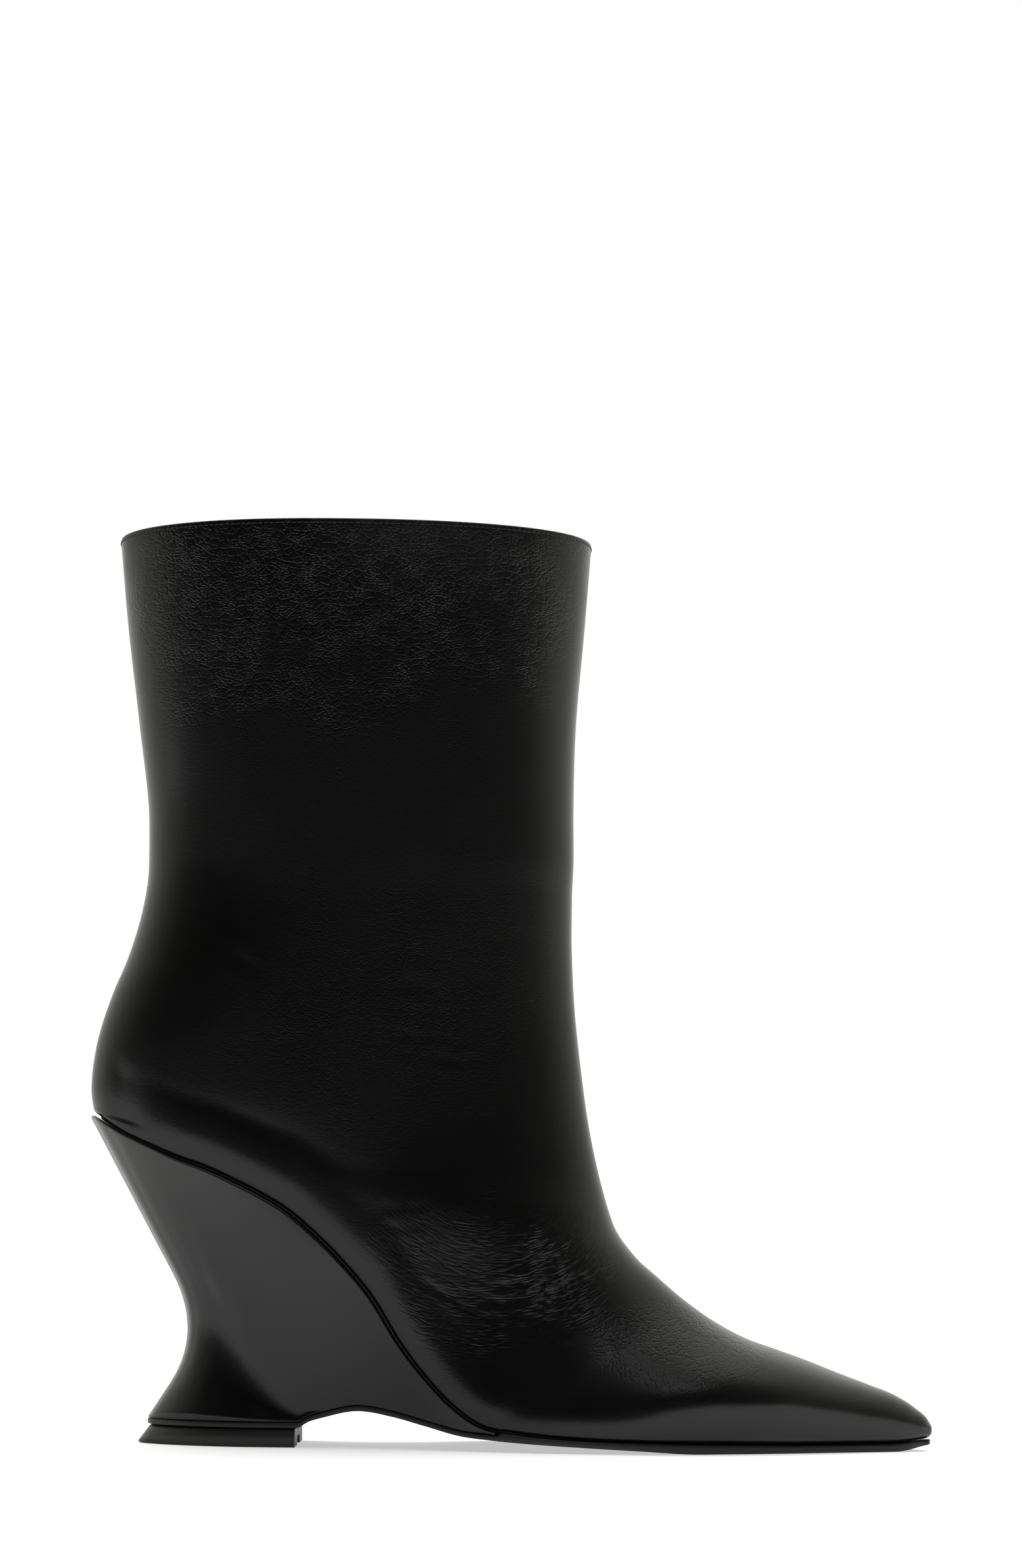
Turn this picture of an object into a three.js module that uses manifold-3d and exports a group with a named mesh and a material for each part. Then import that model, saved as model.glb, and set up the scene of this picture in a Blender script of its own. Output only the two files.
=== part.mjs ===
// A right-foot wedge ankle boot. The toe points to +X, the inner side of the foot to +Y, and the boot
// stands on Z = 0.
import * as THREE from "three";
import { mergeVertices } from "three/addons/utils/BufferGeometryUtils.js";
import Module from "manifold-3d";

const wasm = await Module();
wasm.setup();

// Driving sizes in millimetres
const length = 242.1;
const heelHeight = 94;
const shaftHeight = 165;
const ballWidth = 78;
const leather = 1.8;
const insoleThickness = 2.5;
const insoleBevel = 2.0;
const outsoleThickness = 2.2;
const archThickness = 1.5;
const archRise = 5;
const toeSpring = 1.9;
const toeLean = 3.6;
const liftHeight = 5.1;
const liftFlareBack = 2.7;
const liftFlareSide = 0.7;
const liftInset = 0.8;
const liftBevel = 0.4;
const recessWidth = 13;
const recessHeight = 2.6;
const recessDepth = 3;
const tipThickness = 0.6;
const topRim = 1.4;
const backHollow = 20.6;
const sideHollow = 6.5;
const edgeRounding = 1.2;
const clearance = 0.3;

// How finely the curved pieces are divided, and how far a cutting shape reaches past a face
const rowSpacing = 6;
const closestRows = 1.2;
const stepsAround = 32;
const cutReach = 1;

// Levels that follow from the sizes
const soleTop = outsoleThickness + clearance;
const heelBase = liftHeight + clearance;
const recessRounding = recessHeight / 2;

// The shaft from the collar down to the heel, one closed ring to a row. X in shares of the length,
// up in shares of the shaft's height above the heel's seat, half width in shares of the ball's width,
// and widest as the place of the widest point between back and front.
const shaft = [
  { backX: 0.0244, backUp: 0.997, frontX: 0.5845, frontUp: 1.0, half: 0.53, widest: 0.47 },
  { backX: 0.0351, backUp: 0.8418, frontX: 0.5774, frontUp: 0.8515, half: 0.49, widest: 0.46 },
  { backX: 0.0504, backUp: 0.6697, frontX: 0.5684, frontUp: 0.6788, half: 0.45, widest: 0.45 },
  { backX: 0.0632, backUp: 0.5091, frontX: 0.5668, frontUp: 0.5333, half: 0.416, widest: 0.44 },
  { backX: 0.0638, backUp: 0.4303, frontX: 0.5676, frontUp: 0.4485, half: 0.4, widest: 0.44 },
  { backX: 0.0571, backUp: 0.3515, frontX: 0.5662, frontUp: 0.3818, half: 0.388, widest: 0.44 },
  { backX: 0.0405, backUp: 0.2667, frontX: 0.5662, frontUp: 0.3212, half: 0.382, widest: 0.44 },
  { backX: 0.0243, backUp: 0.2085, frontX: 0.5674, frontUp: 0.2667, half: 0.379, widest: 0.44 },
  { backX: 0.0062, backUp: 0.1218, frontX: 0.5712, frontUp: 0.1818, half: 0.375, widest: 0.44 },
  { backX: 0.0, backUp: 0.0424, frontX: 0.5782, frontUp: 0.0909, half: 0.371, widest: 0.44 },
];

// The foot from the back of the heel to the toe, one arch from sole line to sole line to a row. X is
// where the arch stands on the bed, outer and inner are the sole line's distances from the centre line,
// front is the point of the arch's ridge, up in shares of the heel's height above the sole.
const foot = [
  { x: 0.0041, outer: 0, inner: 0, frontX: 0.588, frontUp: 0.9781, half: 0.372, widest: 0.44 },
  { x: 0.0116, outer: 0.092, inner: 0.092, frontX: 0.5896, frontUp: 0.9563, half: 0.37, widest: 0.44 },
  { x: 0.0297, outer: 0.165, inner: 0.165, frontX: 0.5916, frontUp: 0.9301, half: 0.368, widest: 0.44 },
  { x: 0.0566, outer: 0.228, inner: 0.228, frontX: 0.5955, frontUp: 0.882, half: 0.366, widest: 0.44 },
  { x: 0.0917, outer: 0.282, inner: 0.282, frontX: 0.6009, frontUp: 0.8273, half: 0.365, widest: 0.44 },
  { x: 0.1371, outer: 0.325, inner: 0.323, frontX: 0.606, frontUp: 0.7792, half: 0.366, widest: 0.44 },
  { x: 0.1991, outer: 0.351, inner: 0.335, frontX: 0.6121, frontUp: 0.7235, half: 0.367, widest: 0.44 },
  { x: 0.2652, outer: 0.358, inner: 0.318, frontX: 0.6226, frontUp: 0.6503, half: 0.362, widest: 0.43 },
  { x: 0.3325, outer: 0.358, inner: 0.29, frontX: 0.6458, frontUp: 0.5683, half: 0.35, widest: 0.41 },
  { x: 0.3932, outer: 0.374, inner: 0.3, frontX: 0.6712, frontUp: 0.5088, half: 0.364, widest: 0.38 },
  { x: 0.4593, outer: 0.414, inner: 0.36, frontX: 0.7045, frontUp: 0.4348, half: 0.41, widest: 0.34 },
  { x: 0.5419, outer: 0.46, inner: 0.449, frontX: 0.7443, frontUp: 0.3631, half: 0.472, widest: 0.3 },
  { x: 0.6163, outer: 0.469, inner: 0.497, frontX: 0.7794, frontUp: 0.3159, half: 0.505, widest: 0.28 },
  { x: 0.6865, outer: 0.436, inner: 0.492, frontX: 0.8125, frontUp: 0.2856, half: 0.49, widest: 0.28 },
  { x: 0.7567, outer: 0.361, inner: 0.444, frontX: 0.8517, frontUp: 0.2495, half: 0.435, widest: 0.3 },
  { x: 0.8228, outer: 0.267, inner: 0.356, frontX: 0.8889, frontUp: 0.2115, half: 0.345, widest: 0.32 },
  { x: 0.8848, outer: 0.169, inner: 0.262, frontX: 0.924, frontUp: 0.1775, half: 0.251, widest: 0.34 },
  { x: 0.9343, outer: 0.092, inner: 0.187, frontX: 0.9566, frontUp: 0.1435, half: 0.172, widest: 0.36 },
  { x: 0.9674, outer: 0.036, inner: 0.136, frontX: 0.9789, frontUp: 0.1071, half: 0.114, widest: 0.38 },
  { x: 0.9888, outer: -0.013, inner: 0.092, frontX: 0.995, frontUp: 0.0678, half: 0.067, widest: 0.4 },
  { x: 0.9955, outer: -0.019, inner: 0.073, frontX: 0.9996, frontUp: 0.0404, half: 0.037, widest: 0.41 },
  { x: 0.9979, outer: -0.046, inner: 0.046, frontX: 0.9979, frontUp: 0.012, half: 0, widest: 0.42 },
];

// The bed the foot stands on, from the heel's seat down to the ball and up a little at the toe
const bed = [
  { x: 0.0041, up: 0.9923 },
  { x: 0.0392, up: 0.9377 },
  { x: 0.0752, up: 0.894 },
  { x: 0.109, up: 0.8557 },
  { x: 0.1417, up: 0.8262 },
  { x: 0.1739, up: 0.7891 },
  { x: 0.2065, up: 0.7475 },
  { x: 0.2387, up: 0.6973 },
  { x: 0.271, up: 0.6262 },
  { x: 0.3032, up: 0.5421 },
  { x: 0.3358, up: 0.4404 },
  { x: 0.3693, up: 0.2995 },
  { x: 0.4019, up: 0.1902 },
  { x: 0.4349, up: 0.1027 },
  { x: 0.4676, up: 0.0459 },
  { x: 0.5019, up: 0.0306 },
  { x: 0.5312, up: 0.0219 },
  { x: 0.5696, up: 0.0153 },
  { x: 0.6411, up: 0.0098 },
  { x: 0.7485, up: 0.0044 },
  { x: 0.8517, up: 0.0 },
  { x: 0.9442, up: 0.0 },
  { x: 0.9979, up: 0.012 },
];

// The outsole's underside: heel in shares of the top lift's level, arch of the arch's rise above it,
// and toe of the toe spring
const underside = [
  { x: 0.0, heel: 1, arch: 0, toe: 0 },
  { x: 0.2524, heel: 1, arch: 0, toe: 0 },
  { x: 0.2656, heel: 1, arch: 0.34, toe: 0 },
  { x: 0.2858, heel: 1, arch: 0.64, toe: 0 },
  { x: 0.3242, heel: 1, arch: 0.99, toe: 0 },
  { x: 0.3635, heel: 0.9, arch: 0.81, toe: 0 },
  { x: 0.4027, heel: 0.7, arch: 0.54, toe: 0 },
  { x: 0.4428, heel: 0.45, arch: 0.33, toe: 0 },
  { x: 0.4804, heel: 0.35, arch: 0.26, toe: 0 },
  { x: 0.5126, heel: 0.28, arch: 0.22, toe: 0 },
  { x: 0.5725, heel: 0.18, arch: 0.17, toe: 0 },
  { x: 0.6464, heel: 0.09, arch: 0.09, toe: 0 },
  { x: 0.7195, heel: 0, arch: 0, toe: 0 },
  { x: 0.9529, heel: 0, arch: 0, toe: 0 },
  { x: 0.9979, heel: 0, arch: 0, toe: 1 },
];

// The wedge's outline at its base, and topX as the place on the sole line that stands above each row.
// The waist's corner stands a share of the way up, drawn forward and inward by shares of the hollows.
const base = [
  { x: 0.0725, topX: 0.0041, outer: 0.0, inner: 0.0, waist: 0.283, forward: 1, inward: 0 },
  { x: 0.0786, topX: 0.0149, outer: 0.07, inner: 0.07, waist: 0.29, forward: 0.985, inward: 0.22 },
  { x: 0.0938, topX: 0.0397, outer: 0.13, inner: 0.13, waist: 0.32, forward: 0.9, inward: 0.5 },
  { x: 0.1185, topX: 0.0814, outer: 0.19, inner: 0.19, waist: 0.33, forward: 0.7, inward: 0.85 },
  { x: 0.1537, topX: 0.133, outer: 0.24, inner: 0.24, waist: 0.27, forward: 0.4, inward: 1 },
  { x: 0.1991, topX: 0.1908, outer: 0.268, inner: 0.266, waist: 0.16, forward: 0.12, inward: 0.72 },
  { x: 0.2507, topX: 0.2487, outer: 0.2641, inner: 0.2564, waist: 0.06, forward: 0, inward: 0.2 },
  { x: 0.3024, topX: 0.3024, outer: 0.259, inner: 0.2385, waist: 0.02, forward: 0, inward: 0 },
  { x: 0.3478, topX: 0.3478, outer: 0.2692, inner: 0.2308, waist: 0.02, forward: 0, inward: 0 },
  { x: 0.3932, topX: 0.3932, outer: 0.3026, inner: 0.2487, waist: 0.02, forward: 0, inward: 0 },
  { x: 0.4428, topX: 0.4428, outer: 0.3667, inner: 0.3179, waist: 0.02, forward: 0, inward: 0 },
  { x: 0.4841, topX: 0.4841, outer: 0.4256, inner: 0.3923, waist: 0.02, forward: 0, inward: 0 },
];

// Places along the boot, in shares of its length
const wedgeFront = 0.4841;
const liftFront = 0.2507;
const leanStart = 0.15;
const leanFull = 0.8;

// Shape shares: the roundness of the last's sections, the wedge's waist and how far its curve reaches
const roundness = 2.2;
const curveUp = 0.27;
const curveDown = 0.6;
const curveSteps = 5;

const mix = (a, b, share) => a + (b - a) * share;
const rise = (share) => soleTop + share * (heelHeight - soleTop);
const shaftLevel = (share) => heelHeight + share * shaftHeight;

// A smooth curve through one column's values, which never runs past its neighbours.
function smooth(knots, values) {
  const last = knots.length - 1;
  const steps = [];
  for (let i = 0; i < last; i++) {
    steps.push((values[i + 1] - values[i]) / (knots[i + 1] - knots[i]));
  }
  const slopes = values.map((value, i) => {
    if (i === 0) return steps[0];
    if (i === last) return steps[last - 1];
    const before = steps[i - 1];
    const after = steps[i];
    if (before * after <= 0) return 0;
    const near = knots[i] - knots[i - 1];
    const far = knots[i + 1] - knots[i];
    const mean = (before * far + after * near) / (near + far);
    const limit = 3 * Math.min(Math.abs(before), Math.abs(after));
    return Math.sign(mean) * Math.min(Math.abs(mean), limit);
  });
  return (at) => {
    let i = 0;
    while (i < last - 1 && at > knots[i + 1]) i++;
    const span = knots[i + 1] - knots[i];
    const t = Math.min(Math.max((at - knots[i]) / span, 0), 1);
    const stay = 1 - t;
    return (
      values[i] * (1 + 2 * t) * stay * stay +
      slopes[i] * span * t * stay * stay +
      values[i + 1] * (3 - 2 * t) * t * t -
      slopes[i + 1] * span * t * t * stay
    );
  };
}

// A column of a table as a smooth function of the X in millimetres.
function overX(table, value) {
  return smooth(
    table.map((row) => row.x * length),
    table.map(value),
  );
}

const bedHeight = overX(bed, (row) => rise(row.up));
const soleBottom = overX(
  underside,
  (row) => row.heel * heelBase + row.arch * archRise + row.toe * toeSpring,
);

// A point above the bed by a height measured square to it.
function onBed(x, y, above) {
  const slope = (bedHeight(x + 0.1) - bedHeight(x - 0.1)) / 0.2;
  const steep = Math.hypot(1, slope);
  return new THREE.Vector3(x - (slope / steep) * above, y, bedHeight(x) + above / steep);
}

// The last: every row of both tables as back and front points and widths in millimetres
const rings = shaft.map((row) => ({
  backX: row.backX * length,
  backZ: shaftLevel(row.backUp),
  frontX: row.frontX * length,
  frontZ: shaftLevel(row.frontUp),
  outer: 0,
  inner: 0,
  half: row.half * ballWidth,
  widest: row.widest,
  lean: 0,
}));
const arches = foot.map((row) => ({
  backX: row.x * length,
  backZ: bedHeight(row.x * length),
  frontX: row.frontX * length,
  frontZ: rise(row.frontUp),
  outer: row.outer * ballWidth,
  inner: row.inner * ballWidth,
  half: row.half * ballWidth,
  widest: row.widest,
  lean: toeLean * THREE.MathUtils.smoothstep(row.x, leanStart, leanFull),
}));
const rows = [...rings, ...arches];
const heelRow = rings.length;
const knots = [0];
for (let i = 1; i < rows.length; i++) {
  const a = rows[i - 1];
  const b = rows[i];
  const back = Math.hypot(b.backX - a.backX, b.backZ - a.backZ);
  const front = Math.hypot(b.frontX - a.frontX, b.frontZ - a.frontZ);
  knots.push(knots[i - 1] + (back + front) / 2);
}
const column = (name, from, to) =>
  smooth(
    knots.slice(from, to),
    rows.slice(from, to).map((row) => row[name]),
  );
const whole = {};
for (const name of ["frontX", "frontZ", "half", "widest", "lean"]) {
  whole[name] = column(name, 0, rows.length);
}
const seam = {
  backX: column("backX", 0, heelRow + 1),
  backZ: column("backZ", 0, heelRow + 1),
};
const soleLine = {
  x: column("backX", heelRow, rows.length),
  outer: column("outer", heelRow, rows.length),
  inner: column("inner", heelRow, rows.length),
};

// One section of the last, at a place measured along the rows.
function sectionAt(at) {
  const section = { onSole: at > knots[heelRow] - 1e-6 };
  for (const name of Object.keys(whole)) {
    section[name] = whole[name](at);
  }
  section.backX = section.onSole ? soleLine.x(at) : seam.backX(at);
  section.backZ = section.onSole ? bedHeight(section.backX) : seam.backZ(at);
  section.outer = section.onSole ? soleLine.outer(at) : 0;
  section.inner = section.onSole ? soleLine.inner(at) : 0;
  return section;
}

// A point of a section: around runs from -1 at the outer sole line over 0 at the ridge to 1.
function pointOf(section, around) {
  const side = Math.sign(around);
  const foothold = (section.outer + section.inner) / 2;
  const middle = (section.inner - section.outer) / 2;
  const half = Math.max(section.half, foothold / 0.985, 1e-6);
  const shareDown = Math.pow(1 - Math.pow(foothold / half, roundness), 1 / roundness);
  const down = section.widest / shareDown;
  const start = Math.acos(Math.pow(section.widest / down, roundness / 2));
  const turn = mix(Math.PI, start, Math.abs(around));
  const reach = Math.pow(Math.abs(Math.cos(turn)), 2 / roundness);
  const along =
    turn < Math.PI / 2 ? section.widest - down * reach : section.widest + (1 - section.widest) * reach;
  const out = half * Math.pow(Math.sin(turn), 2 / roundness);
  return new THREE.Vector3(
    mix(section.backX, section.frontX, along),
    mix(middle, section.lean, along) + side * out,
    mix(section.backZ, section.frontZ, along),
  );
}

// The place where a rising curve reaches a value.
function placeOf(curve, low, high, value) {
  let [from, to] = [low, high];
  for (let i = 0; i < 50; i++) {
    const middle = (from + to) / 2;
    if (curve(middle) < value) from = middle;
    else to = middle;
  }
  return to;
}
const solePlaceOf = (x) => placeOf(soleLine.x, knots[heelRow], knots[knots.length - 1], x);

// The places of all sections, closer where the table's rows are closer, and one at the wedge's tip
const wedgeTip = solePlaceOf(wedgeFront * length);
const places = [0];
for (let i = 1; i < knots.length; i++) {
  const steps = Math.max(1, Math.round((knots[i] - knots[i - 1]) / rowSpacing));
  for (let k = 1; k <= steps; k++) {
    const at = mix(knots[i - 1], knots[i], k / steps);
    if (Math.abs(at - wedgeTip) > rowSpacing / 3) places.push(at);
  }
}
places.push(wedgeTip);
places.sort((a, b) => a - b);
const solePlaces = places.filter((at) => at > knots[heelRow] - 1e-6);
const wedgePlaces = solePlaces.filter((at) => at < wedgeTip + 1e-6);

// Turns rows of outline points into inset ones: by is the distance inwards, which may differ by place.
// Each station holds an outer and an inner point, and the first and last may fall together.
function inset(stations, by) {
  const last = stations.length - 1;
  const loop = [
    ...stations.map((station) => station.outer).reverse(),
    ...stations.map((station) => station.inner),
  ].filter((point, i, all) => i === 0 || point.distanceTo(all[i - 1]) > 1e-6);
  const folded = stations[last].outer.distanceTo(stations[last].inner) < 1e-6;
  const normalAt = (point) => {
    const i = loop.findIndex((other) => other.distanceTo(point) < 1e-6);
    const open = !folded && (i === 0 || i === loop.length - 1);
    if (open) return new THREE.Vector2(0, Math.sign(point.y));
    const before = loop[(i - 1 + loop.length) % loop.length];
    const after = loop[(i + 1) % loop.length];
    const ahead = folded && i === loop.length - 1 ? loop[1] : after;
    const behind = folded && i === 0 ? loop[loop.length - 2] : before;
    const along = new THREE.Vector2(ahead.x - behind.x, ahead.y - behind.y).normalize();
    return new THREE.Vector2(-along.y, along.x);
  };
  return stations.map((station) => {
    const moved = {};
    for (const side of ["outer", "inner"]) {
      const normal = normalAt(station[side]);
      const distance = typeof by === "function" ? by(normal) : by;
      moved[side] = station[side].clone().addScaledVector(normal, -distance);
    }
    return moved;
  });
}

const soleStations = solePlaces.map((at) => {
  const section = sectionAt(at);
  return {
    outer: new THREE.Vector2(section.backX, -section.outer),
    inner: new THREE.Vector2(section.backX, section.inner),
  };
});

// Collects triangles, with points that fall together made one.
class Skin {
  constructor() {
    this.points = [];
    this.faces = [];
    this.found = new Map();
  }
  add(point) {
    const key = [point.x, point.y, point.z].map((value) => Math.round(value * 1e4)).join();
    if (!this.found.has(key)) {
      this.found.set(key, this.points.length / 3);
      this.points.push(point.x, point.y, point.z);
    }
    return this.found.get(key);
  }
  triangle(a, b, c) {
    const [i, j, k] = [this.add(a), this.add(b), this.add(c)];
    if (i !== j && j !== k && k !== i) this.faces.push(i, j, k);
  }
  quad(a, b, c, d) {
    this.triangle(a, b, c);
    this.triangle(a, c, d);
  }
  geometry() {
    const made = new THREE.BufferGeometry();
    made.setAttribute("position", new THREE.Float32BufferAttribute(this.points, 3));
    made.setIndex(this.faces);
    made.computeVertexNormals();
    return made;
  }
}

// A solid lofted from the back to the front: each ring runs up the outer side and down the inner side.
function lofted(stations) {
  const skin = new Skin();
  const count = stations[0].length;
  for (let k = 0; k < stations.length - 1; k++) {
    for (let v = 0; v < count; v++) {
      const next = (v + 1) % count;
      skin.quad(stations[k][v], stations[k + 1][v], stations[k + 1][next], stations[k][next]);
    }
  }
  for (let v = 0; v < count / 2 - 1; v++) {
    const back = stations[0];
    const front = stations[stations.length - 1];
    skin.quad(back[v], back[v + 1], back[count - 2 - v], back[count - 1 - v]);
    skin.quad(front[v], front[count - 1 - v], front[count - 2 - v], front[v + 1]);
  }
  return skin.geometry();
}

// Upper: one leather shell, open at the collar and along the sole line.
function upperShape() {
  const outside = places.map((at) => {
    const section = sectionAt(at);
    const line = [];
    for (let j = 0; j <= stepsAround; j++) {
      line.push(pointOf(section, -1 + (2 * j) / stepsAround));
    }
    return line;
  });
  const lastRow = outside.length - 1;
  const firstOnSole = places.length - solePlaces.length;
  const innerLine = inset(soleStations, leather);
  const inside = outside.map((line, i) =>
    line.map((point, j) => {
      const onSole = i >= firstOnSole;
      const atEdge = j === 0 || j === stepsAround;
      if (i === lastRow || (onSole && atEdge)) {
        const station = innerLine[i - firstOnSole];
        const moved = j === 0 || i === lastRow ? station.outer : station.inner;
        return onBed(moved.x, moved.y, 0);
      }
      const above = outside[Math.max(i - 1, 0)][j];
      const below = outside[i + 1][j];
      const left = atEdge ? line[stepsAround - 1] : line[j - 1];
      const right = atEdge ? line[1] : line[j + 1];
      const down = below.clone().sub(above);
      const across = right.clone().sub(left);
      const normal = across.cross(down);
      if (i === 0) normal.z = 0;
      return point.clone().addScaledVector(normal.normalize(), leather);
    }),
  );
  const skin = new Skin();
  for (let i = 0; i < lastRow; i++) {
    for (let j = 0; j < stepsAround; j++) {
      skin.quad(outside[i][j], outside[i + 1][j], outside[i + 1][j + 1], outside[i][j + 1]);
      skin.quad(inside[i][j], inside[i][j + 1], inside[i + 1][j + 1], inside[i + 1][j]);
    }
    if (i >= firstOnSole) {
      const end = stepsAround;
      skin.quad(outside[i][0], inside[i][0], inside[i + 1][0], outside[i + 1][0]);
      skin.quad(outside[i][end], outside[i + 1][end], inside[i + 1][end], inside[i][end]);
    }
  }
  for (let j = 0; j < stepsAround; j++) {
    skin.quad(outside[0][j], outside[0][j + 1], inside[0][j + 1], inside[0][j]);
  }
  return skin.geometry();
}

// Insole: the thin board inside the upper, its bevelled edge clear of the leather.
function insoleShape() {
  const line = inset(soleStations, leather + clearance);
  const top = inset(soleStations, leather + clearance + insoleBevel);
  return lofted(
    line.map(({ outer, inner }, k) => [
      onBed(outer.x, outer.y, 0),
      onBed(top[k].outer.x, top[k].outer.y, insoleThickness),
      onBed(top[k].inner.x, top[k].inner.y, insoleThickness),
      onBed(inner.x, inner.y, 0),
    ]),
  );
}

// The base outline as curves along its own length
const baseKnots = [0];
for (let i = 1; i < base.length; i++) {
  const forward = (base[i].x - base[i - 1].x) * length;
  const sideways = (base[i].outer - base[i - 1].outer) * ballWidth;
  baseKnots.push(baseKnots[i - 1] + Math.hypot(forward, sideways));
}
const baseEnd = baseKnots[baseKnots.length - 1];
const baseColumn = (name, unit) =>
  smooth(
    baseKnots,
    base.map((row) => row[name] * unit),
  );
const baseLine = {
  x: baseColumn("x", length),
  topX: baseColumn("topX", length),
  outer: baseColumn("outer", ballWidth),
  inner: baseColumn("inner", ballWidth),
  waist: baseColumn("waist", 1),
  forward: baseColumn("forward", backHollow),
  inward: baseColumn("inward", sideHollow),
};
const baseStation = (at) => ({
  outer: new THREE.Vector2(baseLine.x(at), -baseLine.outer(at)),
  inner: new THREE.Vector2(baseLine.x(at), baseLine.inner(at)),
});
const basePlaces = wedgePlaces.map((at) => placeOf(baseLine.topX, 0, baseEnd, soleLine.x(at)));
const wedgeBase = basePlaces.map(baseStation);

// The outsole is thin under the wedge, and thins further where the wedge's tip leaves less room.
function underWedge(x) {
  const thin = soleBottom(x) + archThickness;
  return Math.min(thin, bedHeight(x) - 2 * clearance - tipThickness);
}

// Wedge: block under heel and arch, hollowed at its back above a foot that flares to the floor. Its top
// edge stands out a little behind the heel.
function wedgeShape() {
  const rim = (normal) => -topRim * Math.max(-normal.x, 0) ** 2;
  const tops = inset(soleStations.slice(0, wedgePlaces.length), rim);
  const caps = inset(tops, edgeRounding);
  const sections = wedgeBase.map((station, k) => {
    const at = basePlaces[k];
    const up = (side) => {
      const bottom = station[side];
      const top = tops[k][side];
      const low = new THREE.Vector3(bottom.x, bottom.y, underWedge(bottom.x) + clearance);
      const high = onBed(top.x, top.y, -clearance);
      const waist = low.clone().lerp(high, baseLine.waist(at));
      waist.x += baseLine.forward(at);
      waist.y -= Math.sign(bottom.y) * baseLine.inward(at);
      const curveEnd = waist.clone().lerp(high, curveUp);
      const curveStart = waist.clone().lerp(low, curveDown);
      const curve = new THREE.QuadraticBezierCurve3(curveStart, waist, curveEnd);
      const edge = Math.min(edgeRounding, 0.3 * high.distanceTo(low));
      const shoulder = high.clone().add(waist.clone().sub(high).setLength(edge));
      const cap = top.clone().lerp(caps[k][side], edge / edgeRounding);
      return [low, ...curve.getPoints(curveSteps), shoulder, onBed(cap.x, cap.y, -clearance)];
    };
    return [...up("outer"), ...up("inner").reverse()];
  });
  return lofted(sections);
}

// Outsole: one sheet from the heel's base through the arch to the toe.
function outsoleShape() {
  const behind = wedgeFront * length + clearance;
  const ahead = behind + closestRows;
  const stations = [...wedgeBase];
  for (const x of [behind, ahead]) {
    const at = solePlaceOf(x);
    stations.push({
      outer: new THREE.Vector2(x, -soleLine.outer(at)),
      inner: new THREE.Vector2(x, soleLine.inner(at)),
    });
  }
  stations.push(...soleStations.filter((station) => station.outer.x > ahead + closestRows));
  const topOf = (x) => (x < behind + 1e-3 ? underWedge(x) : bedHeight(x) - clearance);
  return lofted(
    stations.map(({ outer, inner }) => [
      new THREE.Vector3(outer.x, outer.y, soleBottom(outer.x)),
      new THREE.Vector3(outer.x, outer.y, topOf(outer.x)),
      new THREE.Vector3(inner.x, inner.y, topOf(inner.x)),
      new THREE.Vector3(inner.x, inner.y, soleBottom(inner.x)),
    ]),
  );
}

// A three.js geometry as a solid that can be cut, and back again.
function toSolid(geometry) {
  const bare = geometry.clone();
  bare.deleteAttribute("normal");
  bare.deleteAttribute("uv");
  const merged = mergeVertices(bare, 1e-4);
  return new wasm.Manifold(
    new wasm.Mesh({
      numProp: 3,
      vertProperties: new Float32Array(merged.getAttribute("position").array),
      triVerts: new Uint32Array(merged.index.array),
    }),
  );
}
function toGeometry(solid) {
  const mesh = solid.getMesh();
  const made = new THREE.BufferGeometry();
  made.setAttribute("position", new THREE.Float32BufferAttribute(mesh.vertProperties, 3));
  made.setIndex([...mesh.triVerts]);
  made.computeVertexNormals();
  return made;
}

// Top lift: wearing piece, wider at the floor, with an arched recess in its front face.
function liftShape() {
  const front = liftFront * length;
  const stations = wedgeBase.filter((station) => station.outer.x < front - closestRows);
  stations.push(baseStation(placeOf(baseLine.x, 0, baseEnd, front)));
  const flare = (normal) => mix(liftFlareSide, liftFlareBack, Math.max(-normal.x, 0) ** 2);
  const tops = inset(stations, liftInset);
  const widest = inset(stations, (normal) => -flare(normal));
  const treads = inset(stations, (normal) => liftBevel - flare(normal));
  const block = lofted(
    stations.map((station, k) => [
      new THREE.Vector3(treads[k].outer.x, treads[k].outer.y, 0),
      new THREE.Vector3(widest[k].outer.x, widest[k].outer.y, liftBevel),
      new THREE.Vector3(tops[k].outer.x, tops[k].outer.y, liftHeight),
      new THREE.Vector3(tops[k].inner.x, tops[k].inner.y, liftHeight),
      new THREE.Vector3(widest[k].inner.x, widest[k].inner.y, liftBevel),
      new THREE.Vector3(treads[k].inner.x, treads[k].inner.y, 0),
    ]),
  );
  const arch = new THREE.Shape();
  const side = recessWidth / 2;
  arch.moveTo(-side, -cutReach);
  arch.lineTo(side, -cutReach);
  arch.lineTo(side, recessHeight - recessRounding);
  arch.absarc(side - recessRounding, recessHeight - recessRounding, recessRounding, 0, Math.PI / 2);
  arch.absarc(recessRounding - side, recessHeight - recessRounding, recessRounding, Math.PI / 2, Math.PI);
  const recess = new THREE.ExtrudeGeometry(arch, {
    depth: recessDepth + cutReach,
    curveSegments: 6,
    bevelEnabled: false,
  });
  recess.rotateX(Math.PI / 2);
  recess.rotateZ(Math.PI / 2);
  recess.translate(front - recessDepth, 0, 0);
  return toGeometry(toSolid(block).subtract(toSolid(recess)));
}

const boot = new THREE.Group();
function place(name, geometry, color, roughness) {
  const material = new THREE.MeshStandardMaterial({ color, roughness, metalness: 0 });
  const mesh = new THREE.Mesh(geometry, material);
  mesh.name = name;
  boot.add(mesh);
}
place("upper", upperShape(), 0x161717, 0.42);
place("insole", insoleShape(), 0x24211d, 0.8);
place("wedge", wedgeShape(), 0x2a2b2b, 0.38);
place("outsole", outsoleShape(), 0x191919, 0.6);
place("top_lift", liftShape(), 0x222221, 0.7);

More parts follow.
